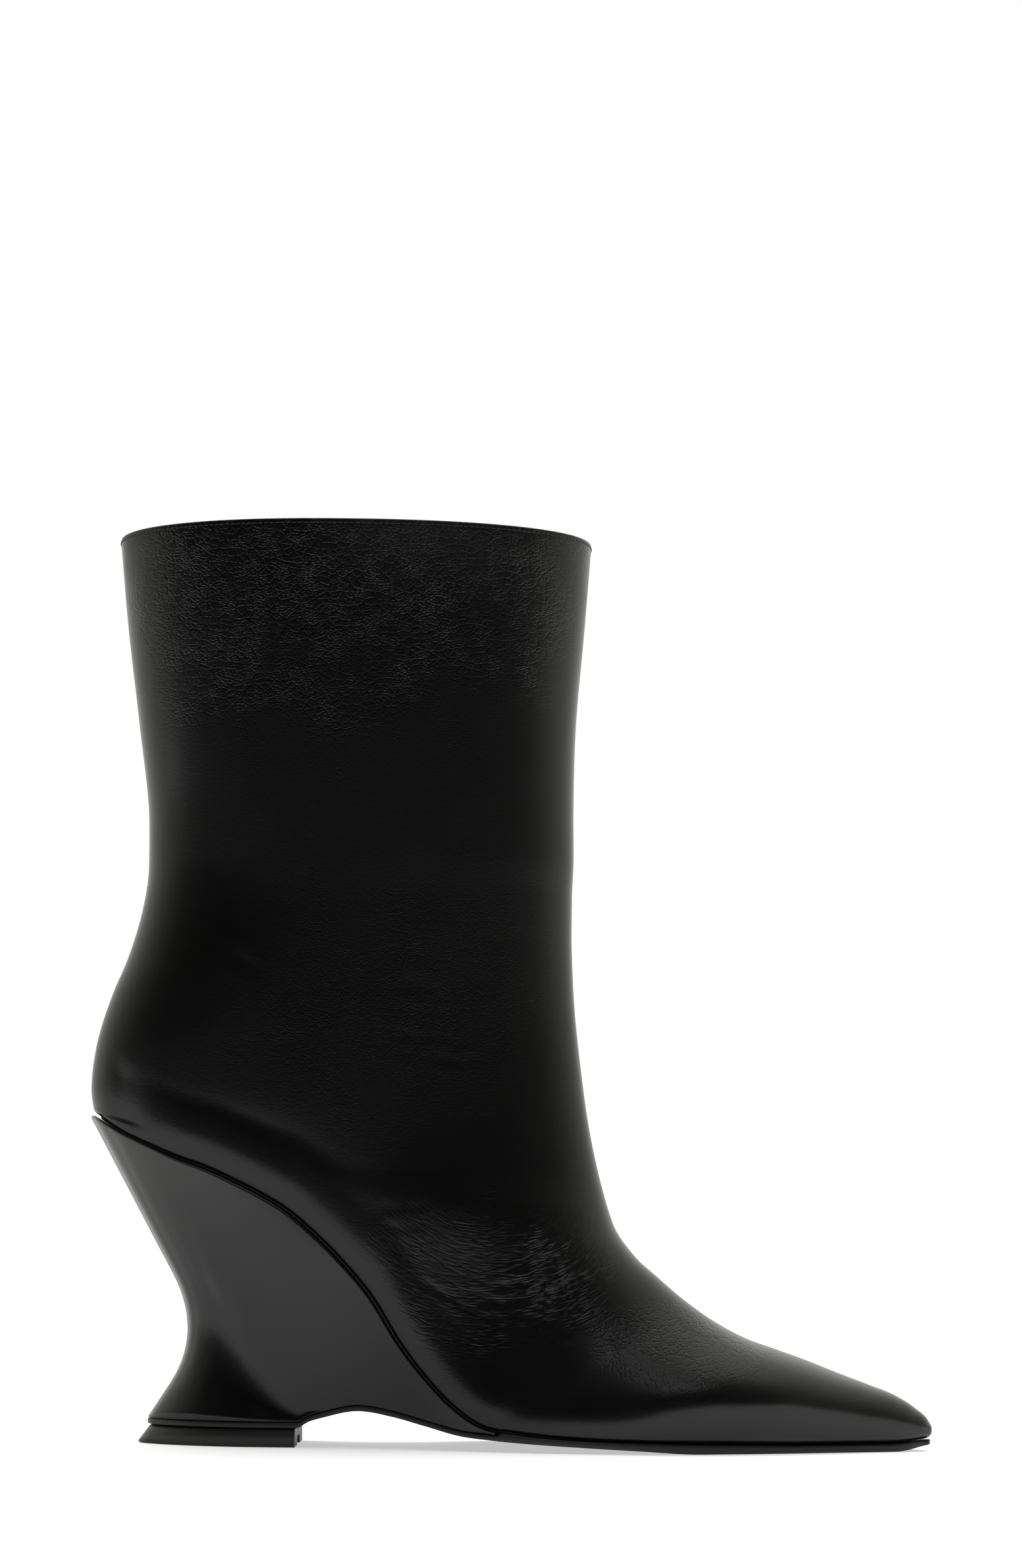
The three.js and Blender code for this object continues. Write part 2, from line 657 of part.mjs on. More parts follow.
// The origin stands on the floor under the middle of the boot.
const around = new THREE.Box3().setFromObject(boot);
const centre = around.getCenter(new THREE.Vector3());
boot.position.set(-centre.x, -centre.y, -around.min.z);

export default boot;
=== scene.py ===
# A right-foot wedge ankle boot in smooth black leather, built up in the order in which it is made:
# upper, lining, collar seam, sock, covered wedge, outsole and top lift. Sizes are in millimetres from
# the back of the heel, as in the solid model, and each mesh is turned into the frame's metres at the end.
import math
import bpy
import numpy as np
from mathutils import Matrix


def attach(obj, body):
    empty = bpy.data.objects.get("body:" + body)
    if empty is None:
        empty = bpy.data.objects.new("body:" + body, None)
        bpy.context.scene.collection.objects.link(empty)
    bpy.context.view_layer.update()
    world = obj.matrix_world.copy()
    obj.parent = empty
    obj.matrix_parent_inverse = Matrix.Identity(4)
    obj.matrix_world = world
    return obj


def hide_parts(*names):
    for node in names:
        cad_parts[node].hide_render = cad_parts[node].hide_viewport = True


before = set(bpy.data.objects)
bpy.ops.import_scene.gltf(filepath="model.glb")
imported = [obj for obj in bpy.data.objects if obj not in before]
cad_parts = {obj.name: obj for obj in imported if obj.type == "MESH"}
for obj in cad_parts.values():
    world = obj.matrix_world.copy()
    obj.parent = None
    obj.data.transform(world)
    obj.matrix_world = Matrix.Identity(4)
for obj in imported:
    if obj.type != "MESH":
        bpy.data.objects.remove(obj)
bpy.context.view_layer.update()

# Upper
# One piece of smooth black calf over a leather lining, lasted over the toe. Its lower edge is drawn in
# round the last and cemented down on the wedge and the outsole.
length = 242.1
heel_height = 94.0
shaft_height = 165.0
ball_width = 78.0
sole_top = 2.5
toe_lean = 3.6
roundness = 2.2
wall = 1.8
skin = 1.1
feather = 1.6
turn_in = 0.9
turn_out = 0.4
turn_high = 8.5
wall_straight = 20.0
collar_straight = 4.0
frame_shift = 0.05
smallest = 1e-6

shaft_columns = ("backX", "backUp", "frontX", "frontUp", "half", "widest")
shaft = [
    (0.0244, 0.997, 0.5845, 1.0, 0.53, 0.47),
    (0.0351, 0.8418, 0.5774, 0.8515, 0.49, 0.46),
    (0.0504, 0.6697, 0.5684, 0.6788, 0.45, 0.45),
    (0.0632, 0.5091, 0.5668, 0.5333, 0.416, 0.44),
    (0.0638, 0.4303, 0.5676, 0.4485, 0.4, 0.44),
    (0.0571, 0.3515, 0.5662, 0.3818, 0.388, 0.44),
    (0.0405, 0.2667, 0.5662, 0.3212, 0.382, 0.44),
    (0.0243, 0.2085, 0.5674, 0.2667, 0.379, 0.44),
    (0.0062, 0.1218, 0.5712, 0.1818, 0.375, 0.44),
    (0.0, 0.0424, 0.5782, 0.0909, 0.371, 0.44),
]
foot_columns = ("x", "outer", "inner", "frontX", "frontUp", "half", "widest")
foot = [
    (0.0041, 0, 0, 0.588, 0.9781, 0.372, 0.44),
    (0.0116, 0.092, 0.092, 0.5896, 0.9563, 0.37, 0.44),
    (0.0297, 0.165, 0.165, 0.5916, 0.9301, 0.368, 0.44),
    (0.0566, 0.228, 0.228, 0.5955, 0.882, 0.366, 0.44),
    (0.0917, 0.282, 0.282, 0.6009, 0.8273, 0.365, 0.44),
    (0.1371, 0.325, 0.323, 0.606, 0.7792, 0.366, 0.44),
    (0.1991, 0.351, 0.335, 0.6121, 0.7235, 0.367, 0.44),
    (0.2652, 0.358, 0.318, 0.6226, 0.6503, 0.362, 0.43),
    (0.3325, 0.358, 0.29, 0.6458, 0.5683, 0.35, 0.41),
    (0.3932, 0.374, 0.3, 0.6712, 0.5088, 0.364, 0.38),
    (0.4593, 0.414, 0.36, 0.7045, 0.4348, 0.41, 0.34),
    (0.5419, 0.46, 0.449, 0.7443, 0.3631, 0.472, 0.3),
    (0.6163, 0.469, 0.497, 0.7794, 0.3159, 0.505, 0.28),
    (0.6865, 0.436, 0.492, 0.8125, 0.2856, 0.49, 0.28),
    (0.7567, 0.361, 0.444, 0.8517, 0.2495, 0.435, 0.3),
    (0.8228, 0.267, 0.356, 0.8889, 0.2115, 0.345, 0.32),
    (0.8848, 0.169, 0.262, 0.924, 0.1775, 0.251, 0.34),
    (0.9343, 0.092, 0.187, 0.9566, 0.1435, 0.172, 0.36),
    (0.9674, 0.036, 0.136, 0.9789, 0.1071, 0.114, 0.38),
    (0.9888, -0.013, 0.092, 0.995, 0.0678, 0.067, 0.4),
    (0.9955, -0.019, 0.073, 0.9996, 0.0404, 0.037, 0.41),
    (0.9979, -0.046, 0.046, 0.9979, 0.012, 0, 0.42),
]
bed = [
    (0.0041, 0.9923), (0.0392, 0.9377), (0.0752, 0.894), (0.109, 0.8557), (0.1417, 0.8262),
    (0.1739, 0.7891), (0.2065, 0.7475), (0.2387, 0.6973), (0.271, 0.6262), (0.3032, 0.5421),
    (0.3358, 0.4404), (0.3693, 0.2995), (0.4019, 0.1902), (0.4349, 0.1027), (0.4676, 0.0459),
    (0.5019, 0.0306), (0.5312, 0.0219), (0.5696, 0.0153), (0.6411, 0.0098), (0.7485, 0.0044),
    (0.8517, 0.0), (0.9442, 0.0), (0.9979, 0.012),
]


def smooth(knots, values):
    """A smooth curve through one column's values, which never runs past its neighbours."""
    knots = np.asarray(knots, float)
    values = np.asarray(values, float)
    gaps = np.diff(knots)
    steps = np.diff(values) / gaps
    before, after = steps[:-1], steps[1:]
    mean = (before * gaps[1:] + after * gaps[:-1]) / (gaps[1:] + gaps[:-1])
    limit = 3 * np.minimum(abs(before), abs(after))
    inner = np.where(before * after > 0, np.sign(mean) * np.minimum(abs(mean), limit), 0)
    slopes = np.concatenate([steps[:1], inner, steps[-1:]])

    def curve(at):
        at = np.asarray(at, float)
        i = np.clip(np.searchsorted(knots, at, side="left") - 1, 0, len(gaps) - 1)
        t = np.clip((at - knots[i]) / gaps[i], 0, 1)
        stay = 1 - t
        return (
            values[i] * (1 + 2 * t) * stay * stay
            + slopes[i] * gaps[i] * t * stay * stay
            + values[i + 1] * (3 - 2 * t) * t * t
            - slopes[i + 1] * gaps[i] * t * t * stay
        )

    return curve


def mix(a, b, share):
    return a + (b - a) * share


def fade(value, low, high):
    """Rises softly from 0 at low to 1 at high."""
    t = np.clip((np.asarray(value, float) - low) / (high - low), 0, 1)
    return t * t * (3 - 2 * t)


def rise(share):
    return sole_top + share * (heel_height - sole_top)


bed_height = smooth([x * length for x, up in bed], [rise(up) for x, up in bed])


def bed_slope(x):
    return (bed_height(x + 0.1) - bed_height(x - 0.1)) / 0.2


def on_bed(x, y, above):
    """A point above the bed by a height measured square to it."""
    slope = bed_slope(x)
    steep = np.hypot(1, slope)
    return np.stack([x - slope / steep * above, y + 0 * x, bed_height(x) + above / steep], -1)


last_rows = []
for row in shaft:
    cell = dict(zip(shaft_columns, row))
    last_rows.append({
        "backX": cell["backX"] * length,
        "backZ": heel_height + cell["backUp"] * shaft_height,
        "frontX": cell["frontX"] * length,
        "frontZ": heel_height + cell["frontUp"] * shaft_height,
        "outer": 0.0,
        "inner": 0.0,
        "half": cell["half"] * ball_width,
        "widest": cell["widest"],
        "lean": 0.0,
    })
for row in foot:
    cell = dict(zip(foot_columns, row))
    last_rows.append({
        "backX": cell["x"] * length,
        "backZ": float(bed_height(cell["x"] * length)),
        "frontX": cell["frontX"] * length,
        "frontZ": rise(cell["frontUp"]),
        "outer": cell["outer"] * ball_width,
        "inner": cell["inner"] * ball_width,
        "half": cell["half"] * ball_width,
        "widest": cell["widest"],
        "lean": toe_lean * float(fade(cell["x"], 0.15, 0.8)),
    })
heel_row = len(shaft)
knots = [0.0]
for a, b in zip(last_rows, last_rows[1:]):
    back = math.hypot(b["backX"] - a["backX"], b["backZ"] - a["backZ"])
    front = math.hypot(b["frontX"] - a["frontX"], b["frontZ"] - a["frontZ"])
    knots.append(knots[-1] + (back + front) / 2)


def column(name, start, stop):
    return smooth(knots[start:stop], [row[name] for row in last_rows[start:stop]])


whole = {name: column(name, 0, len(knots)) for name in ("frontX", "frontZ", "half", "widest", "lean")}
seam = {name: column(name, 0, heel_row + 1) for name in ("backX", "backZ")}
sole_line = {name: column(name, heel_row, len(knots)) for name in ("backX", "outer", "inner")}


def section_at(at):
    """The last's sections at places measured along its rows."""
    at = np.asarray(at, float)
    on_sole = at > knots[heel_row] - smallest
    section = {name: curve(at) for name, curve in whole.items()}
    section["backX"] = np.where(on_sole, sole_line["backX"](at), seam["backX"](at))
    section["backZ"] = np.where(on_sole, bed_height(section["backX"]), seam["backZ"](at))
    section["outer"] = np.where(on_sole, sole_line["outer"](at), 0)
    section["inner"] = np.where(on_sole, sole_line["inner"](at), 0)
    return section


def points_of(section, around):
    """Points of the sections: around runs from -1 at the outer sole line over 0 at the ridge to 1."""
    part = {name: values[:, None] for name, values in section.items()}
    side = np.sign(around)
    foothold = (part["outer"] + part["inner"]) / 2
    middle = (part["inner"] - part["outer"]) / 2
    half = np.maximum(np.maximum(part["half"], foothold / 0.985), smallest)
    share_down = (1 - (foothold / half) ** roundness) ** (1 / roundness)
    down = part["widest"] / share_down
    start = np.arccos(np.clip((part["widest"] / down) ** (roundness / 2), -1, 1))
    turn = mix(math.pi, start, abs(around))
    reach = abs(np.cos(turn)) ** (2 / roundness)
    low = part["widest"] - down * reach
    high = part["widest"] + (1 - part["widest"]) * reach
    along = np.where(turn < math.pi / 2, low, high)
    out = half * np.clip(np.sin(turn), 0, 1) ** (2 / roundness)
    return np.stack([
        mix(part["backX"], part["frontX"], along),
        mix(middle, part["lean"], along) + side * out,
        mix(part["backZ"], part["frontZ"], along),
    ], -1)


def outline_of(section, rows=slice(None)):
    """The sole line of some sections in plan: its outer and its inner side, from back to front."""
    outer = np.stack([section["backX"], -section["outer"]], -1)[rows]
    inner = np.stack([section["backX"], section["inner"]], -1)[rows]
    return outer, inner


def even_rows(shaft_spacing, spacing, toe_spacing, heel_spacing):
    """Places of the rows along the last, wider in the shaft, closer at the heel's seat and at the toe."""
    places = [0.0]
    for i in range(1, len(knots)):
        step = shaft_spacing if i < 5 else spacing
        if i > len(knots) - 6:
            step = toe_spacing
        if i in (heel_row, heel_row + 1):
            step = heel_spacing
        count = max(1, round((knots[i] - knots[i - 1]) / step))
        places += [mix(knots[i - 1], knots[i], k / count) for k in range(1, count + 1)]
    return np.array(places)


def even_columns(section, count, edge_steps):
    """Each section's points set evenly along it, after a few close ones at both sole lines."""
    dense = points_of(section, np.linspace(-1, 1, 601)[None, :])
    runs = np.linalg.norm(np.diff(dense, axis=1), axis=2)
    gone = np.concatenate([np.zeros((len(runs), 1)), np.cumsum(runs, axis=1)], axis=1)
    rows = []
    for line, travelled in zip(dense, gone):
        total = travelled[-1]
        edge = np.array(edge_steps) * min(1, total / (6 * edge_steps[-1] + 1e-9))
        middle = np.linspace(edge[-1], total - edge[-1], count - 2 * len(edge) + 2)[1:-1]
        stops = np.concatenate([edge, middle, (total - edge)[::-1]])
        rows.append(np.stack([np.interp(stops, travelled, line[:, k]) for k in range(3)], -1))
    return np.array(rows)


def weld(grid):
    """Makes points of a grid that fall together one: the points, and each grid place's number."""
    flat = grid.reshape(-1, 3)
    keys = np.round(flat * 1e4).astype(np.int64)
    _, first, number = np.unique(keys, axis=0, return_index=True, return_inverse=True)
    return flat[first].copy(), number.reshape(grid.shape[:2])


def quads_of(number):
    """Faces between neighbouring rows and columns of a numbered grid."""
    a, b, c, d = number[:-1, :-1], number[1:, :-1], number[1:, 1:], number[:-1, 1:]
    return np.stack([a, b, c, d], -1).reshape(-1, 4)


def normals_of(points, quads):
    across = np.cross(points[quads[:, 2]] - points[quads[:, 0]], points[quads[:, 3]] - points[quads[:, 1]])
    total = np.zeros_like(points)
    for k in range(4):
        np.add.at(total, quads[:, k], across)
    size = np.linalg.norm(total, axis=1, keepdims=True)
    return total / np.maximum(size, 1e-12)


def add_object(name, data):
    made = bpy.data.objects.new(name, data)
    bpy.context.scene.collection.objects.link(made)
    return made


def make_piece(name, points, quads, node):
    """A smooth mesh in the frame's metres that rides on the boot and stands for a solid node."""
    faces = []
    for quad in quads:
        corners = list(dict.fromkeys(int(i) for i in quad))
        if len(corners) > 2:
            faces.append(corners)
    placed = (np.asarray(points) - (length / 2, 0, 0) + (frame_shift, 0, 0)) * 0.001
    mesh = bpy.data.meshes.new(name)
    mesh.from_pydata([tuple(point) for point in placed], [], faces)
    mesh.validate()
    mesh.polygons.foreach_set("use_smooth", [True] * len(mesh.polygons))
    piece = add_object(name, mesh)
    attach(piece, "root")
    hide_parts(node)
    return piece


def inset(outer, inner, distance):
    """Moves an outline, given as an outer and an inner line from back to front, inwards in plan."""
    loop = np.concatenate([outer[::-1], inner])
    keep = np.ones(len(loop), bool)
    keep[1:] = np.linalg.norm(np.diff(loop, axis=0), axis=1) > smallest
    thin = loop[keep]
    along = np.gradient(thin, axis=0)
    folded = np.linalg.norm(outer[-1] - inner[-1]) < smallest
    if folded:
        along[0] = along[-1] = thin[1] - thin[-2]
    else:
        along[0] = along[-1] = (0, 0)
        along[0][0], along[-1][0] = -1, 1
    along = along / np.linalg.norm(along, axis=1, keepdims=True)
    normal = np.stack([-along[:, 1], along[:, 0]], -1)
    full = normal[np.cumsum(keep) - 1]
    by = distance(full)[:, None] if callable(distance) else distance
    moved = loop + full * by
    return moved[: len(outer)][::-1], moved[len(outer):]


# Creases where the boot bends at the ankle and over the ball: the two ends in X and height, the bow
# between them, the trough's half width and its depth. Side -1 is the outer side and 1 the inner. Each
# trough has a low ridge along both its sides, wavers a little and runs out softly at its ends.
crease_columns = ("side", "x0", "z0", "x1", "z1", "bow", "width", "depth")
creases = [
    (-1, 89.2, 51.0, 142.9, 55.3, -12.0, 1.2, 0.18),
    (-1, 94.0, 48.0, 141.5, 57.5, -9.0, 0.9, 0.11),
    (-1, 99.1, 46.2, 139.2, 57.7, -6.2, 1.0, 0.13),
    (-1, 104.0, 40.2, 144.3, 46.8, -5.5, 1.2, 0.19),
    (-1, 107.7, 36.8, 141.5, 39.4, -3.6, 1.0, 0.14),
    (-1, 110.5, 47.0, 135.0, 53.0, -3.0, 0.9, 0.11),
    (-1, 113.6, 52.5, 133.9, 60.2, -2.0, 1.1, 0.16),
    (-1, 117.3, 55.0, 135.7, 65.0, -1.8, 1.0, 0.13),
    (-1, 124.0, 30.2, 139.7, 32.4, -1.4, 1.0, 0.12),
    (-1, 131.8, 63.7, 146.5, 69.4, -0.8, 1.2, 0.13),
    (-1, 80.5, 65.6, 100.8, 68.2, 0.8, 1.6, 0.06),
    (-1, 83.0, 61.5, 101.0, 62.5, 0.6, 1.4, 0.05),
    (-1, 32.0, 144.5, 52.0, 132.5, -1.0, 2.2, 0.1),
    (-1, 37.0, 140.5, 56.0, 130.0, -0.8, 1.8, 0.06),
    (-1, 84.0, 117.0, 112.0, 114.0, -1.0, 1.8, 0.06),
    (-1, 86.0, 112.5, 115.0, 109.0, -1.2, 1.7, 0.07),
    (-1, 85.0, 132.0, 106.0, 127.0, -0.8, 2.2, 0.06),
    (1, 92.0, 52.0, 143.0, 56.5, -11.0, 1.3, 0.18),
    (1, 100.0, 45.5, 141.0, 55.0, -7.0, 1.1, 0.14),
    (1, 105.0, 39.5, 144.0, 45.0, -5.0, 1.2, 0.17),
    (1, 114.0, 53.0, 134.0, 59.0, -1.6, 1.0, 0.12),
    (1, 119.0, 31.5, 140.0, 32.0, -1.8, 1.1, 0.12),
    (1, 130.0, 64.5, 147.0, 68.5, -0.6, 1.2, 0.12),
    (1, 36.0, 141.0, 53.0, 132.5, -1.0, 2.0, 0.08),
    (1, 86.0, 116.0, 114.0, 111.0, -1.0, 1.8, 0.07),
]

ridge_share = 0.45
ridge_place = 1.9


def crease_depth(points, normals):
    """How far the creases move each point of the leather along its normal."""
    total = np.zeros(len(points))
    for row in creases:
        cell = dict(zip(crease_columns, row))
        start = np.array([cell["x0"], cell["z0"]], float)
        run = np.array([cell["x1"], cell["z1"]], float) - start
        size = math.hypot(*run)
        along = run / size
        offset = points[:, (0, 2)] - start
        t = offset @ along / size
        from_line = offset @ np.array([-along[1], along[0]]) - cell["bow"] * 4 * t * (1 - t)
        from_line += 0.4 * np.sin(t * size / 2.3 + cell["z0"]) + 0.3 * np.sin(t * size / 0.9 + cell["x0"])
        off = from_line / cell["width"]
        ridges = np.exp(-(off - ridge_place) ** 2) + np.exp(-(off + ridge_place) ** 2)
        profile = ridge_share * ridges - np.exp(-off * off)
        ends = fade(t, 0, 0.35) * fade(1 - t, 0, 0.35)
        facing = fade(normals[:, 1] * cell["side"], 0.1, 0.6)
        waver = 0.72 + 0.28 * np.sin(t * size / 2.9 + cell["x1"])
        total += cell["depth"] * profile * ends * facing * waver
    return total


places = even_rows(2.4, 1.05, 0.5, 0.5)
places[0] = skin / 2
sections = section_at(places)
sole_rows = slice(int(np.argmax(places > knots[heel_row] - smallest)), len(places))
grid = even_columns(sections, 224, (0, 0.12, 0.35, 0.7, 1.1, 1.6, 2.4))
# The leather stretches evenly over the heel's seat, where the closed rings turn into open arches.
from_edge = np.minimum(np.arange(grid.shape[1]), np.arange(grid.shape[1])[::-1])
eased = fade(24 - abs(places - knots[heel_row]), 0, 14)[:, None] * fade(from_edge, 9, 24)[None, :]
for _ in range(160):
    grid[1:-1] += (0.5 * (grid[:-2] + grid[2:]) - grid[1:-1]) * eased[1:-1, :, None]
points, number = weld(grid)
above = (points[:, 2] - bed_height(points[:, 0])) / np.hypot(1, bed_slope(points[:, 0]))
# Round the heel and the waist the wall stands straight above its rolled-in lower edge.
straight_end = 114
stations = np.linspace(4, straight_end, 56)
for side, line, most, soft in ((-1, sections["outer"], 1.0, 26), (1, sections["inner"], 0.45, 60)):
    here = points[:, 1] * side > 0
    wall_high = here & (abs(above - wall_straight) < 2)
    walls = np.array([abs(points[wall_high & (abs(points[:, 0] - x) < 3), 1]).mean() for x in stations])
    walls = np.convolve(np.pad(walls, 3, mode="edge"), np.ones(7) / 7, mode="valid")
    x = points[here, 0]
    share = np.clip(above[here] / wall_straight, 0, 1)
    foot_y = np.interp(x, sections["backX"][sole_rows], line[sole_rows])
    straight = mix(foot_y, np.interp(x, stations, walls), 1 - (1 - share) ** 4)
    weight = most * fade(x, 5, 20) * fade(straight_end - x, 0, soft) * fade(1 - share, 0, 0.35)
    points[here, 1] = side * mix(abs(points[here, 1]), straight, weight)
quads = quads_of(number)
normals = normals_of(points, quads)
near = np.clip(feather - above, 0, feather)
drawn_in = feather - np.sqrt(feather ** 2 - near ** 2)
# Along wedge and ball the leather turns under at its lowest and stands out a little above that.
turned = turn_in * np.clip(1 - above / turn_high, 0, 1) ** 2
stands_out = turn_out * fade(above, 0, turn_high) * fade(2.2 * turn_high - above, 0, 1.2 * turn_high)
drawn_in += (turned - stands_out) * fade(points[:, 0], 10, 34) * fade(160 - points[:, 0], 0, 36)
level = np.array(normals)
level[:, 2] = 0
level /= np.maximum(np.linalg.norm(level, axis=1, keepdims=True), 1e-9)
below_collar = heel_height + shaft_height - points[:, 2]
calm = fade(above, 2, 8) * fade(below_collar, collar_straight, 14)
points = points + normals * (crease_depth(points, normals) * calm)[:, None] - level * drawn_in[:, None]

sole_outer, sole_inner = outline_of(sections, sole_rows)
margin_width = 2.2
tuck_outer, tuck_inner = inset(sole_outer, sole_inner, -(feather + margin_width))


def margin(line, start):
    """The lasting margin: a strip from the drawn-in edge to a line under the foot."""
    under = on_bed(line[:, 0], line[:, 1], 0.02)
    return under, np.arange(start, start + len(under))


edge_outer = number[sole_rows, 0]
edge_inner = number[sole_rows, -1]
under_outer, outer_number = margin(tuck_outer, len(points))
under_inner, inner_number = margin(tuck_inner, len(points) + len(under_outer))
points = np.concatenate([points, under_outer, under_inner])
quads = np.concatenate([
    quads,
    quads_of(np.stack([outer_number, edge_outer], -1)),
    quads_of(np.stack([edge_inner, inner_number], -1)),
])

# The turned edge at the collar: the leather rolls over and runs down inside behind the lining.
rim = points[number[0]]
rim_normal = normals[number[0]] * (1, 1, 0)
rim_normal /= np.linalg.norm(rim_normal, axis=1, keepdims=True)
extra = []
for turn in np.linspace(0, math.pi, 8)[1:]:
    lift = np.array([0, 0, math.sin(turn) * skin / 2])
    extra.append(rim - rim_normal * (1 - math.cos(turn)) * skin / 2 + lift)
for drop in (2.5, 6.0):
    extra.append(rim - rim_normal * skin - (0, 0, drop))
extra = np.array(extra)
rolled_points, rolled_number = weld(extra)
rolled_number = rolled_number + len(points)
points = np.concatenate([points, rolled_points])
quads = np.concatenate([quads, quads_of(np.concatenate([rolled_number[::-1], number[:1]]))])
upper = make_piece("upper_leather", points, quads, "upper")


def node(tree, kind, inputs=None, **settings):
    """Adds a shader node, with its settings, and its inputs as values or links."""
    made = tree.nodes.new(kind)
    for name, value in settings.items():
        setattr(made, name, value)
    for name, value in (inputs or {}).items():
        if isinstance(value, bpy.types.NodeSocket):
            tree.links.new(value, made.inputs[name])
        else:
            made.inputs[name].default_value = value
    return made


def math_node(tree, operation, a, b=0.0):
    return node(tree, "ShaderNodeMath", {0: a, 1: b}, operation=operation).outputs[0]


def times(tree, a, b):
    return math_node(tree, "MULTIPLY", a, b)


def spread(tree, value, low, high, to_low=0.0, to_high=1.0, kind="LINEAR"):
    """Spreads a value that runs between low and high over 0 to 1, or over two other levels."""
    ends = {"From Min": low, "From Max": high, "To Min": to_low, "To Max": to_high}
    return node(tree, "ShaderNodeMapRange", {"Value": value, **ends}, interpolation_type=kind).outputs[0]


def blend(tree, share, dark, pale):
    """A colour between two others, by a share that runs from 0 to 1."""
    inputs = {"Factor": share, "A": dark, "B": pale}
    return node(tree, "ShaderNodeMix", inputs, data_type="RGBA").outputs["Result"]


def object_point(tree):
    return node(tree, "ShaderNodeTexCoord").outputs["Object"]


def split(tree, vector):
    return node(tree, "ShaderNodeSeparateXYZ", {0: vector}).outputs


def noise(tree, where, scale, detail):
    return node(tree, "ShaderNodeTexNoise", {"Vector": where, "Scale": scale, "Detail": detail}).outputs


def ramp(tree, value, stops, kind):
    """A colour ramp over a value, its stops given as place and grey level."""
    made = node(tree, "ShaderNodeValToRGB", {"Fac": value})
    made.color_ramp.interpolation = kind
    elements = made.color_ramp.elements
    while len(elements) < len(stops):
        elements.new(0.5)
    for element, (place, level_of) in zip(elements, stops):
        element.position = place
        element.color = (level_of, level_of, level_of, 1)
    return made.outputs["Color"]


def shader_group(name, inputs, outputs):
    """An empty shader group with named number inputs and outputs."""
    group = bpy.data.node_groups.new(name, "ShaderNodeTree")
    for label, value in inputs.items():
        socket = group.interface.new_socket(label, in_out="INPUT", socket_type="NodeSocketFloat")
        socket.default_value = value
    for label in outputs:
        group.interface.new_socket(label, in_out="OUTPUT", socket_type="NodeSocketFloat")
    entry = group.nodes.new("NodeGroupInput")
    leave = group.nodes.new("NodeGroupOutput")
    return group, entry.outputs, leave.inputs


# Calf grain: fine cells drawn out level, pores between them, and a slow unevenness of the hide.
calf_grain, given, put = shader_group(
    "calf_grain", {"Cells": 900.0, "Level stretch": 1.9}, ("Height", "Unevenness"))
tree = calf_grain
where = object_point(tree)
squeeze = node(tree, "ShaderNodeCombineXYZ", {"X": 1.0, "Y": 1.0, "Z": given["Level stretch"]})
drawn = node(tree, "ShaderNodeVectorMath", {0: where, 1: squeeze.outputs[0]}, operation="MULTIPLY")
warp = noise(tree, where, 260.0, 1.0)["Color"]
warped = node(
    tree, "ShaderNodeVectorMath", {0: warp, 1: (0.0012, 0.0012, 0.0012), 2: drawn.outputs[0]},
    operation="MULTIPLY_ADD").outputs[0]
cells = node(tree, "ShaderNodeTexVoronoi", {"Vector": warped, "Scale": given["Cells"]}, feature="SMOOTH_F1")
round_cells = math_node(tree, "SUBTRACT", 1.0, cells.outputs["Distance"])
fine_share = times(tree, noise(tree, warped, 2600.0, 2.0)["Fac"], 0.3)
tree.links.new(math_node(tree, "ADD", round_cells, fine_share), put["Height"])
tree.links.new(noise(tree, where, 38.0, 2.0)["Fac"], put["Unevenness"])

# Wrinkles: drawn-out cells, short and long ones, with fine valleys of height 0 between them. They lie
# along rings round a centre, which is far off for level wrinkles.
calf_wrinkles, given, put = shader_group(
    "calf_wrinkles", {"Centre X": 0.0, "Centre Z": 0.0, "Across": 0.001, "Along": 0.003}, ("Height",))
tree = calf_wrinkles
where = object_point(tree)
bend = noise(tree, where, 120.0, 2.0)["Color"]
bent = node(
    tree, "ShaderNodeVectorMath", {0: bend, 1: (0.0022, 0.0022, 0.0022), 2: where},
    operation="MULTIPLY_ADD").outputs[0]
spot = split(tree, bent)
from_x = math_node(tree, "SUBTRACT", spot["X"], given["Centre X"])
from_z = math_node(tree, "SUBTRACT", given["Centre Z"], spot["Z"])
square = math_node(tree, "ADD", times(tree, from_x, from_x), times(tree, from_z, from_z))
ring = math_node(tree, "SQRT", square)
arc = times(tree, math_node(tree, "ARCTAN2", from_x, from_z), ring)
lay = node(tree, "ShaderNodeCombineXYZ", {
    "X": math_node(tree, "DIVIDE", arc, given["Along"]),
    "Y": math_node(tree, "DIVIDE", ring, given["Across"])}).outputs[0]
heights = []
for scale, full_at in ((1.0, 0.4), (0.43, 0.2)):
    valleys = node(
        tree, "ShaderNodeTexVoronoi", {"Vector": lay, "Scale": scale},
        voronoi_dimensions="2D", feature="DISTANCE_TO_EDGE").outputs["Distance"]
    heights.append(spread(tree, valleys, 0.0, full_at, kind="SMOOTHSTEP"))
stronger = spread(tree, noise(tree, where, 210.0, 2.0)["Fac"], 0.38, 0.62, 0.25, 1.0)
short = times(tree, heights[0], stronger)
long = times(tree, heights[1], 0.7)
tree.links.new(math_node(tree, "ADD", short, long), put["Height"])

